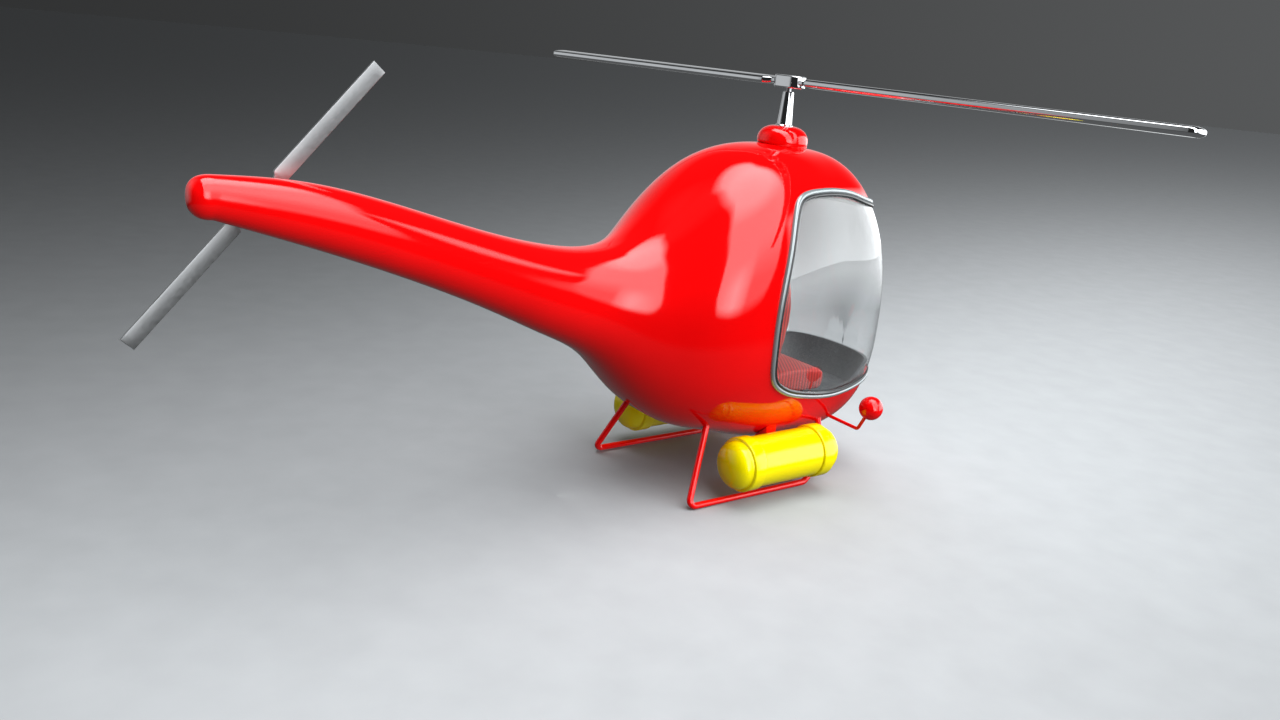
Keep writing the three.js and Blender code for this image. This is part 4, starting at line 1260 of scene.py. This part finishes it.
def skid_line():
    """The skid's path: up at the rear, along the ground, and up over a knee at the front."""
    rear_foot = (SKID_REAR, SKID_TRACK, ROD_RADIUS)
    front_foot = (SKID_FRONT, SKID_TRACK, ROD_RADIUS)
    rear_end = strut_end(REAR_STRUT_TOP, rear_foot)
    front_end = strut_end(FRONT_STRUT_TOP, FRONT_KNEE)
    return rounded_path([rear_end, rear_foot, front_foot, FRONT_KNEE, front_end], SKID_BENDS)


skid = rod("skid_rod_port", skid_line(), ROD_RADIUS - ROD_EASE, red)
finished_pair(skid, "red_plastic", "skid")

STALK_X = 23.0
STALK_ROOT, STALK_CORNER, BALL = ((STALK_X, *yz) for yz in ((17, 23.6), (38, 23.4), (42.8, 33.4)))
STALK_RADIUS, STALK_BEND, STALK_INTO_BALL, BALL_RADIUS = 0.65, 1.6, 2, 4.5
ball_centre = Vector(BALL)
ball_axis = (ball_centre - Vector(STALK_CORNER)).normalized()
stalk_end = ball_centre - ball_axis * STALK_INTO_BALL
stalk_line = rounded_path([STALK_ROOT, STALK_CORNER, stalk_end], [STALK_BEND])
stalk = rod("lamp_rod_port", stalk_line, STALK_RADIUS, red, 24)
finished_pair(stalk, "red_plastic", "lamp_stalk")

ball_profile = [(0, -BALL_RADIUS)]
for i in range(1, 48):
    angle = -math.pi / 2 + math.pi * i / 48
    ball_profile.append((BALL_RADIUS * math.cos(angle), BALL_RADIUS * math.sin(angle)))
ball_profile.append((0, BALL_RADIUS))
ball = turned("lamp_knob_port", ball_profile, ball_centre, ball_axis, red, 64, 60)
finished_pair(ball, "red_plastic", "lamp_ball")

# ------------------------------------------------------------------ side tanks

TANK_Y, TANK_Z, TANK_REAR, TANK_FRONT = 32.9, 15.6, -26.8, 2.0
TANK_RADIUS, CAP_RADIUS, CAP_WIDTH, DOME_RADIUS, DOME_LENGTH = 9.3, 10.0, 6.0, 8.8, 5.0


def tank_barrel():
    """The drum between the caps, its edges eased."""
    inner, outer, eased = TANK_RADIUS - 1.2, TANK_RADIUS, TANK_RADIUS - 0.25
    rear, front, ease = TANK_REAR + 0.05, TANK_FRONT - 0.05, 0.3
    profile = [
        (inner, rear), (eased, rear), (outer, rear + ease), (outer, front - ease),
        (eased, front), (inner, front), (inner, rear),
    ]
    return turned("tank_drum_port", profile, (0, TANK_Y, TANK_Z), (1, 0, 0), yellow, 96, 30)


def tank_cap(name, base_x, way):
    """An end cap: raised rolled rim, a crease and a full dome."""
    dome = []
    for i in range(25):
        angle = math.pi / 2 * i / 24
        r = float(bulge(math.cos(angle), 2.5)) * DOME_RADIUS
        dome.append((r, CAP_WIDTH + float(bulge(math.sin(angle), 2.5)) * DOME_LENGTH))
    dome[-1] = (0, CAP_WIDTH + DOME_LENGTH)
    rim = [
        (0, 0.15),
        (TANK_RADIUS - 0.6, 0.15),
        (CAP_RADIUS - 0.55, 0.15),
        *arc_profile((CAP_RADIUS - 0.55, 0.7), 0.55, -90, 0, 6),
        *arc_profile((CAP_RADIUS - 0.55, CAP_WIDTH - 0.9), 0.55, 0, 78, 6),
        (CAP_RADIUS - 0.75, CAP_WIDTH - 0.34),
        (DOME_RADIUS + 0.1, CAP_WIDTH - 0.28),
    ]
    return turned(name, rim + dome, (base_x, TANK_Y, TANK_Z), (way, 0, 0), yellow, 96, 28)


for piece, node in (
    (tank_barrel(), "tank_barrel"),
    (tank_cap("tank_nose_port", TANK_FRONT, 1), "tank_front_cap"),
    (tank_cap("tank_end_port", TANK_REAR, -1), "tank_rear_cap"),
):
    finished_pair(piece, "yellow_plastic", node)

# ------------------------------------------------------------------ tank brackets

BRACKET_Y, BRACKET_Z = 24, 21.5
BRACKET_RINGS = ((-14.6, 0.9), (-14.2, 1), (-9.8, 1), (-9.4, 0.9))  # x, share of full size
BRACKET_SECTION = [  # y, z: against the skin, then down round the tank
    (21, 20.6), (22.5, 21.6), (24, 22.9), (25.5, 24.3), (27, 25.8),
    (27, 22.9), (26, 21.8), (25, 20.4), (24.2, 18.8), (22.6, 18.2), (21, 18.6),
]


def tank_bracket(name):
    """The short post between tank and belly."""
    y0, z0 = BRACKET_Y, BRACKET_Z
    rings = [
        [(x, y0 + (y - y0) * size, z0 + (z - z0) * size) for y, z in BRACKET_SECTION]
        for x, size in BRACKET_RINGS
    ]
    return loft(name, rings, red, 25)


finished_pair(tank_bracket("tank_post_port"), "red_plastic", "tank_bracket")

# ------------------------------------------------------------------ cabin tub and bulkhead

CABIN_REAR, FLOOR_Z, FLOOR_THICKNESS, TUB_WALL, SHELL_GAP = -31.0, 31.0, 1.2, 1.2, 0.35
BULKHEAD_THICKNESS, BULKHEAD_TOP = 1.6, 106.0
TUB_REAR, TUB_UNDERSIDE, BEYOND_NOSE = CABIN_REAR + 0.3, FLOOR_Z - FLOOR_THICKNESS, 60
UNDER_SILL = [  # x, z: all that is below the sill's edge
    (TUB_REAR, TUB_UNDERSIDE), (BEYOND_NOSE, TUB_UNDERSIDE), (BEYOND_NOSE, 44.8),
    (40, 44.8), (37, 44.3), (29.5, 39.4), (28, 38.5), (TUB_REAR, 34.05),
]
PEDESTAL_REAR, PEDESTAL_FRONT, PEDESTAL_TOP, PEDESTAL_HALF_WIDTH = -18, 10, 35, 19
PEDESTAL_SUNK, PEDESTAL_EASE = 0.6, 0.5


def inside_form(name, depth, mat):
    """A closed body a depth inside the skin, from mid boom to the nose."""
    s = ring_places(RINGS)
    s = s[s > 0.5]
    a = np.linspace(0, 2 * math.pi, 2 * HALF_SIDES, endpoint=False)
    grid_s, grid_a = np.meshgrid(s, a, indexing="ij")
    rings = skin(grid_s, grid_a) - skin_normals(grid_s, grid_a) * depth
    return closed_form(name, rings, mat)


def closed_form(name, rings, mat):
    """A skin through rings, flat at the first and drawn to a point at the last."""
    n, m = rings.shape[:2]
    points = [*rings[:-1].reshape(-1, 3), rings[-1].mean(0)]
    last = len(points) - 1
    faces = ring_faces(n - 1, m)
    faces += [((n - 2) * m + k, (n - 2) * m + (k + 1) % m, last) for k in range(m)]
    faces.append(tuple(range(m))[::-1])
    return mesh_object(name, points, faces, mat, 40)


def side_block(name, outline, half_width=PAST_SKIN_Y):
    """A side outline (x, z) as a block across the cabin."""
    n = len(outline)
    points = [(x, y, z) for y in (-half_width, half_width) for x, z in outline]
    faces = [(k, (k + 1) % n, (k + 1) % n + n, k + n) for k in range(n)]
    faces += [tuple(range(n))[::-1], tuple(range(n, 2 * n))]
    return mesh_object(name, points, faces, cabin_grey, 40)


def rectangle(x0, x1, z0, z1):
    return [(x0, z0), (x1, z0), (x1, z1), (x0, z1)]


tub = inside_form("cabin_floor_tub", SHELL_WALL + SHELL_GAP, cabin_grey)
combine(tub, side_block("under_sill", UNDER_SILL), "INTERSECT", cabin_grey)
hollow = inside_form("hollow", SHELL_WALL + SHELL_GAP + TUB_WALL, cabin_grey)
above_floor = side_block("above_floor", rectangle(-90, 90, FLOOR_Z, 200))
combine(hollow, above_floor, "INTERSECT", cabin_grey)
combine(tub, hollow, "DIFFERENCE", cabin_grey)
pedestal = side_block(
    "pedestal",
    rectangle(PEDESTAL_REAR, PEDESTAL_FRONT, FLOOR_Z - PEDESTAL_SUNK, PEDESTAL_TOP),
    PEDESTAL_HALF_WIDTH,
)
add_modifier(pedestal, "BEVEL", width=PEDESTAL_EASE * MM, segments=3)
baked(pedestal, cabin_grey)
combine(tub, pedestal, "UNION", cabin_grey)
finished(tub, "airframe", "cabin_plastic", "cabin_tub")

bulkhead = inside_form("cabin_rear_wall", SHELL_WALL + SHELL_GAP, cabin_grey)
wall_outline = rectangle(CABIN_REAR - BULKHEAD_THICKNESS, CABIN_REAR, 0, BULKHEAD_TOP)
combine(bulkhead, side_block("wall_slice", wall_outline), "INTERSECT", cabin_grey)
finished(bulkhead, "airframe", "cabin_plastic", "cabin_bulkhead")

# ------------------------------------------------------------------ seat cushions

SEAT_HALF_WIDTH, SEAT_END_GAP = 22.0, 0.2
BLANK_SIZE = 0.985  # of the outline, before the cushion is blown up
END_SIZE, END_SHARPNESS = 0.86, 26  # how far and how suddenly a cushion draws in at its ends
VOXEL = 0.0009
CLOTH_FRAMES, CLOTH_PRESSURE, CLOTH_STIFFNESS, CLOTH_MASS = 20, 3.0, 30, 0.05
MOST_SWELL = 0.6
SEAT_BASE = [
    (-7.5, 35.4), (13.5, 35.4), (16.4, 36.8), (17.4, 40), (15.8, 43), (8, 44.4), (-7.4, 43.4),
]
SEAT_BACK = [
    (-16, 36.5), (-8.8, 36), (-7.9, 43), (-6.6, 52), (-4.9, 63), (-5.1, 72), (-7.4, 81),
    (-10.4, 87), (-13.4, 88), (-15.6, 85), (-16.2, 74), (-16.6, 52),
]


def cushion_blank(name, outline):
    """A plump block along the seat's width, drawn in towards both ends."""
    outline = closed_outline(outline)
    centre = outline.mean(0)
    reach = SEAT_HALF_WIDTH - SEAT_END_GAP
    rings = []
    for t in np.sin(np.linspace(-math.pi / 2, math.pi / 2, 61)):
        end = (1 - abs(t) ** END_SHARPNESS) ** 0.5 if abs(t) < 1 else 0.0
        size = BLANK_SIZE * (END_SIZE + (1 - END_SIZE) * end)
        rings.append([(x, t * reach, z) for x, z in centre + (outline - centre) * size])
    return loft(name, rings, seat_cloth, 60)


def blow_up(obj):
    """Swell a blank by a short cloth simulation, each place by no more than MOST_SWELL."""
    start = vertex_places(obj.data)
    scene = bpy.context.scene
    scene.frame_set(1)
    cloth = obj.modifiers.new("Cloth", "CLOTH")
    cloth.settings.use_pressure = True
    cloth.settings.uniform_pressure_force = CLOTH_PRESSURE
    cloth.settings.effector_weights.gravity = 0
    cloth.settings.tension_stiffness = CLOTH_STIFFNESS
    cloth.settings.compression_stiffness = CLOTH_STIFFNESS
    cloth.settings.mass = CLOTH_MASS
    cloth.point_cache.frame_start = 1
    cloth.point_cache.frame_end = CLOTH_FRAMES
    for f in range(1, CLOTH_FRAMES + 1):
        scene.frame_set(f)
    depsgraph = bpy.context.evaluated_depsgraph_get()
    result = bpy.data.meshes.new_from_object(obj.evaluated_get(depsgraph))
    obj.modifiers.clear()
    move = vertex_places(result) - start
    far = np.linalg.norm(move, axis=1, keepdims=True)
    move *= np.minimum(1, MOST_SWELL * MM / np.maximum(far, 1e-9))
    result.vertices.foreach_set("co", (start + move).ravel())
    obj.data = result
    scene.frame_set(1)


def cushion(name, outline):
    """A stuffed cushion: a blank that is blown up, smoothed and then kept."""
    obj = cushion_blank(name, outline)
    add_modifier(obj, "REMESH", mode="VOXEL", voxel_size=VOXEL)
    baked(obj, seat_cloth, 60)
    blow_up(obj)
    add_modifier(obj, "SMOOTH", factor=0.5, iterations=4)
    add_modifier(obj, "SUBSURF", levels=1, render_levels=1)
    return baked(obj, seat_cloth, 60)


seat_base = cushion("seat_pad", SEAT_BASE)
seat_back = cushion("seat_backrest", SEAT_BACK)
for obj, node in ((seat_base, "seat_base_cushion"), (seat_back, "seat_back_cushion")):
    finished(obj, "airframe", "seat_cover", node)

# ------------------------------------------------------------------ carried-over pieces

STEEL_NODES = [
    "rotor_shaft", "shaft_clip", "hub_grub_screw", "blade_pin_port", "blade_pin_starboard",
    "tail_shaft", "tail_clip", "tail_pin_upper", "tail_pin_lower",
    "front_strut_clip_port", "front_strut_clip_starboard",
    "rear_strut_clip_port", "rear_strut_clip_starboard",
    "shell_screw_1", "shell_screw_2", "shell_screw_3", "shell_screw_4",
]
NODE_FINISH = {
    **dict.fromkeys(STEEL_NODES, steel),
    **dict.fromkeys(("upper_bush", "lower_bush", "tail_bush"), brass),
    "nose_ballast": iron,
}
for node, mat in NODE_FINISH.items():
    for material_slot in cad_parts[node].material_slots:
        material_slot.material = mat

# ------------------------------------------------------------------ studio

CAMERA_AT = (-281.97, -292.44, 157.3)
CAMERA_RIGHT = (0.80476269, -0.58583486, 0.09567929)
CAMERA_DOWN = (-0.0941679, -0.28514234, -0.95384813)
CAMERA_AHEAD = (0.5860797, 0.75861147, -0.28463876)

camera_data = bpy.data.cameras.new("camera")
camera_data.lens = 30
camera_data.sensor_width = 36
camera_data.clip_start = 0.01
camera = new_object("camera", camera_data)
camera_axes = CAMERA_RIGHT, [-v for v in CAMERA_DOWN], [-v for v in CAMERA_AHEAD]
camera_place = Matrix(camera_axes).transposed().to_4x4()
camera_place.translation = Vector(place(CAMERA_AT))
camera.matrix_world = camera_place
bpy.context.scene.camera = camera
bpy.context.scene.view_settings.view_transform = "Standard"


FLOOR_RINGS, FLOOR_SIDES, FLOOR_LEVEL = (0.5, 1, 2, 3.5, 7.0), 96, -0.0002


def make_floor():
    """A big pale floor, with a painted pool of light that is brightest in front of the toy."""
    angles = [2 * math.pi * k / FLOOR_SIDES for k in range(FLOOR_SIDES)]
    points = [(0, 0, FLOOR_LEVEL)]
    for r in FLOOR_RINGS:
        points += [(r * math.cos(a), r * math.sin(a), FLOOR_LEVEL) for a in angles]
    faces = [(0, 1 + k, 1 + (k + 1) % FLOOR_SIDES) for k in range(FLOOR_SIDES)]
    for a, b, c, d in ring_faces(len(FLOOR_RINGS), FLOOR_SIDES):
        faces.append((a + 1, d + 1, c + 1, b + 1))
    return mesh_object("floor", points, faces, floor_material(), 60, metres=True)


# a painted pool of light in the floor's colour, round the toy, brightest at its centre
PAINTED_POOL_CENTRE, PAINTED_POOL_TURN, PAINTED_POOL_REACH = (-0.10, -0.11), 0.3132, (0.874, 0.246)
PAINTED_POOL_BRIGHT, PAINTED_POOL_POWER = 0.34, 2.26
FAR_DARK, FAR_PALE, FAR_TURN, FAR_GAIN = 0.012, 0.05, math.radians(10), 1.9


def far_shade(tree, x, y):
    """How pale the floor and the room are far off: palest ahead of the nose, dark to port. On the
    floor this is painted light and painted shade; in the world it is the backdrop that the camera
    sees.
    """
    turn = maths(tree, "ADD", maths(tree, "ARCTAN2", y, x), FAR_TURN)
    share = maths(tree, "ADD", maths(tree, "MULTIPLY", maths(tree, "COSINE", turn), 0.5), 0.5)
    share = maths(tree, "POWER", share, 3.0)
    return maths(tree, "ADD", maths(tree, "MULTIPLY", share, FAR_PALE), FAR_DARK)


def floor_material():
    """Pale studio paper with a painted pool of light round the toy and painted shade further off.
    """
    mat = bpy.data.materials.new("floor_paper")
    mat.use_nodes = True
    tree = mat.node_tree
    surface = tree.nodes["Principled BSDF"]
    coords = tree.nodes.new("ShaderNodeTexCoord")
    painted_pool = tree.nodes.new("ShaderNodeMapping")
    painted_pool.vector_type = "TEXTURE"
    painted_pool.inputs["Location"].default_value = (PAINTED_POOL_CENTRE[0] + MAST_X, PAINTED_POOL_CENTRE[1], 0)
    painted_pool.inputs["Rotation"].default_value = (0, 0, PAINTED_POOL_TURN)
    painted_pool.inputs["Scale"].default_value = (*PAINTED_POOL_REACH, 1)
    tree.links.new(coords.outputs["Object"], painted_pool.inputs["Vector"])
    length = tree.nodes.new("ShaderNodeVectorMath")
    length.operation = "LENGTH"
    tree.links.new(painted_pool.outputs[0], length.inputs[0])
    # the painted pool of light: palest at its centre, falling off outwards
    fall = maths(tree, "POWER", length.outputs["Value"], PAINTED_POOL_POWER)
    fall = maths(tree, "DIVIDE", PAINTED_POOL_BRIGHT, maths(tree, "ADD", fall, 1.0))
    place_split = tree.nodes.new("ShaderNodeSeparateXYZ")
    tree.links.new(coords.outputs["Object"], place_split.inputs[0])
    # painted shade that darkens the floor far off
    fall = maths(tree, "ADD", fall, far_shade(tree, *place_split.outputs[:2]))
    fibre = ranged(tree, noise(tree, coords.outputs["Object"], 60, 4), 0.97, 1.03)
    shade = maths(tree, "MULTIPLY", fall, fibre)
    tint = tree.nodes.new("ShaderNodeCombineColor")
    for label, gain in (("Red", 0.98), ("Green", 1.0), ("Blue", 1.02)):
        tree.links.new(maths(tree, "MULTIPLY", shade, gain), tint.inputs[label])
    tree.links.new(tint.outputs[0], surface.inputs["Base Color"])
    surface.inputs["Roughness"].default_value = 0.9
    surface.inputs["Specular IOR Level"].default_value = 0.0
    return mat


# the floor shows itself and takes shadows, but it is left out of reflections and bounced light
floor = make_floor()
floor.visible_glossy = False
floor.visible_diffuse = False

# lowest lit elevation at each azimuth, in degrees: one tall window to starboard and a lit ceiling
LIGHT_EDGE = [
    (-180, 70), (-160, 68), (-146, 63), (-132, 52), (-121, 38), (-116, 22), (-113, 2),
    (-108, -6), (-72, -6), (-65, 4), (-60, 24), (-50, 38), (-34, 50), (-14, 59), (12, 63),
    (45, 64), (60, 58), (90, 55), (112, 58), (134, 66), (180, 70),
]
LIGHT_POWER, CEILING_GAIN, HOT_GAIN = 4.0, 1.7, 0.8
PANE_POWER, WALL_POWER, GLOW_POWER, BELOW_POWER, ROOM_DIM = 3.4, 0.55, 0.5, 0.09, 0.02
DEGREES = 180 / math.pi


def studio_world():
    """Soft studio light from all round: a tall window, a ceiling and a dim room.

    There are no lamps. The bright parts were shaped so that the skin's reflections fall
    where they should from the main view, and the camera itself sees a plain graded backdrop.
    """
    world = bpy.data.worlds.new("studio")
    bpy.context.scene.world = world
    world.use_nodes = True
    tree = world.node_tree
    backdrop = tree.nodes["Background"]
    coords = tree.nodes.new("ShaderNodeTexCoord")
    split = tree.nodes.new("ShaderNodeSeparateXYZ")
    tree.links.new(coords.outputs["Generated"], split.inputs[0])
    x, y, z = split.outputs
    azimuth = maths(tree, "ARCTAN2", y, x)
    turn = ranged(tree, azimuth, 0.0, 1.0, -math.pi, math.pi)
    height = maths(tree, "MULTIPLY", maths(tree, "ARCSINE", z), DEGREES)

    def times(*values):
        total = values[0]
        for value in values[1:]:
            total = maths(tree, "MULTIPLY", total, value)
        return total

    def plus(a, b):
        return maths(tree, "ADD", a, b)

    def round_to(start, end, low=0.0, high=1.0):
        """A change from low to high between two azimuths, in degrees."""
        return ranged(tree, azimuth, low, high, math.radians(start), math.radians(end))

    def up_to(start, end, low=0.0, high=1.0):
        """A change from low to high between two elevations, in degrees."""
        return ranged(tree, height, low, high, start, end)

    edge = tree.nodes.new("ShaderNodeFloatCurve")
    tree.links.new(turn, edge.inputs["Value"])
    curve = edge.mapping.curves[0]
    curve.points[0].location = ((LIGHT_EDGE[0][0] + 180) / 360, (LIGHT_EDGE[0][1] + 10) / 100)
    curve.points[1].location = (1, (LIGHT_EDGE[-1][1] + 10) / 100)
    for az, el in LIGHT_EDGE[1:-1]:
        curve.points.new((az + 180) / 360, (el + 10) / 100)
    edge.mapping.update()
    lowest = ranged(tree, edge.outputs[0], -10.0, 90.0, 0.0, 1.0)
    lit = ranged(tree, maths(tree, "SUBTRACT", height, lowest), 0.0, 1.0, -1.0, 5.0)
    ceiling = up_to(58.0, 72.0, 1.0, CEILING_GAIN)
    # the window's second pane, towards the nose, is dimmer and fades downwards
    second = times(round_to(-88, -84), round_to(-50, -30, 1.0, 0.0), up_to(8.0, 34.0, 0.55, 0.0))
    # a brighter patch low in the first pane
    hot = times(round_to(-112, -98), round_to(-98, -88, 1.0, 0.0), up_to(10.0, 26.0, 1.0, 0.0))
    lit = times(lit, ceiling, maths(tree, "SUBTRACT", 1.0, second), plus(times(hot, HOT_GAIN), 1.0))
    # a window by the nose, with a slanting edge, which only the windshield faces
    slant = plus(height, maths(tree, "MULTIPLY", azimuth, 0.65 * DEGREES))
    pane = times(
        round_to(-56, -50),
        ranged(tree, slant, 1.0, 0.0, 18.0, 24.0),
        up_to(31.0, 37.0, 1.0, 0.0),
        up_to(-12.0, -4.0),
        ranged(tree, azimuth, 1.0, 0.0, 0.3, 0.6),
    )
    # a pale wall to port and behind, which lights the rotor's polished sides
    wall = times(
        round_to(96, 116), round_to(140, 168, 1.0, 0.0), up_to(-16.0, -8.0),
        up_to(20.0, 50.0, 1.0, 0.15),
    )
    # the room beyond: a little glow low down, ahead and to port
    glow = times(
        round_to(5, 40), round_to(80, 110, 1.0, 0.0), up_to(8.0, 34.0, 1.0, 0.0), up_to(-18.0, -4.0)
    )
    # under the horizon, the glow that the floor would give back
    below = up_to(-22.0, -17.0, BELOW_POWER, 0.0)
    room = plus(plus(times(glow, GLOW_POWER), ROOM_DIM), below)
    room = plus(plus(room, times(pane, PANE_POWER)), times(wall, WALL_POWER))
    strength = plus(times(lit, LIGHT_POWER), room)
    path = tree.nodes.new("ShaderNodeLightPath")
    seen = tree.nodes.new("ShaderNodeMix")
    tree.links.new(path.outputs["Is Camera Ray"], seen.inputs[0])
    tree.links.new(strength, seen.inputs[2])
    far = maths(tree, "MULTIPLY", far_shade(tree, x, y), FAR_GAIN)
    tree.links.new(far, seen.inputs[3])
    tree.links.new(seen.outputs[0], backdrop.inputs["Strength"])
    backdrop.inputs["Color"].default_value = (0.97, 1.0, 1.02, 1)


studio_world()
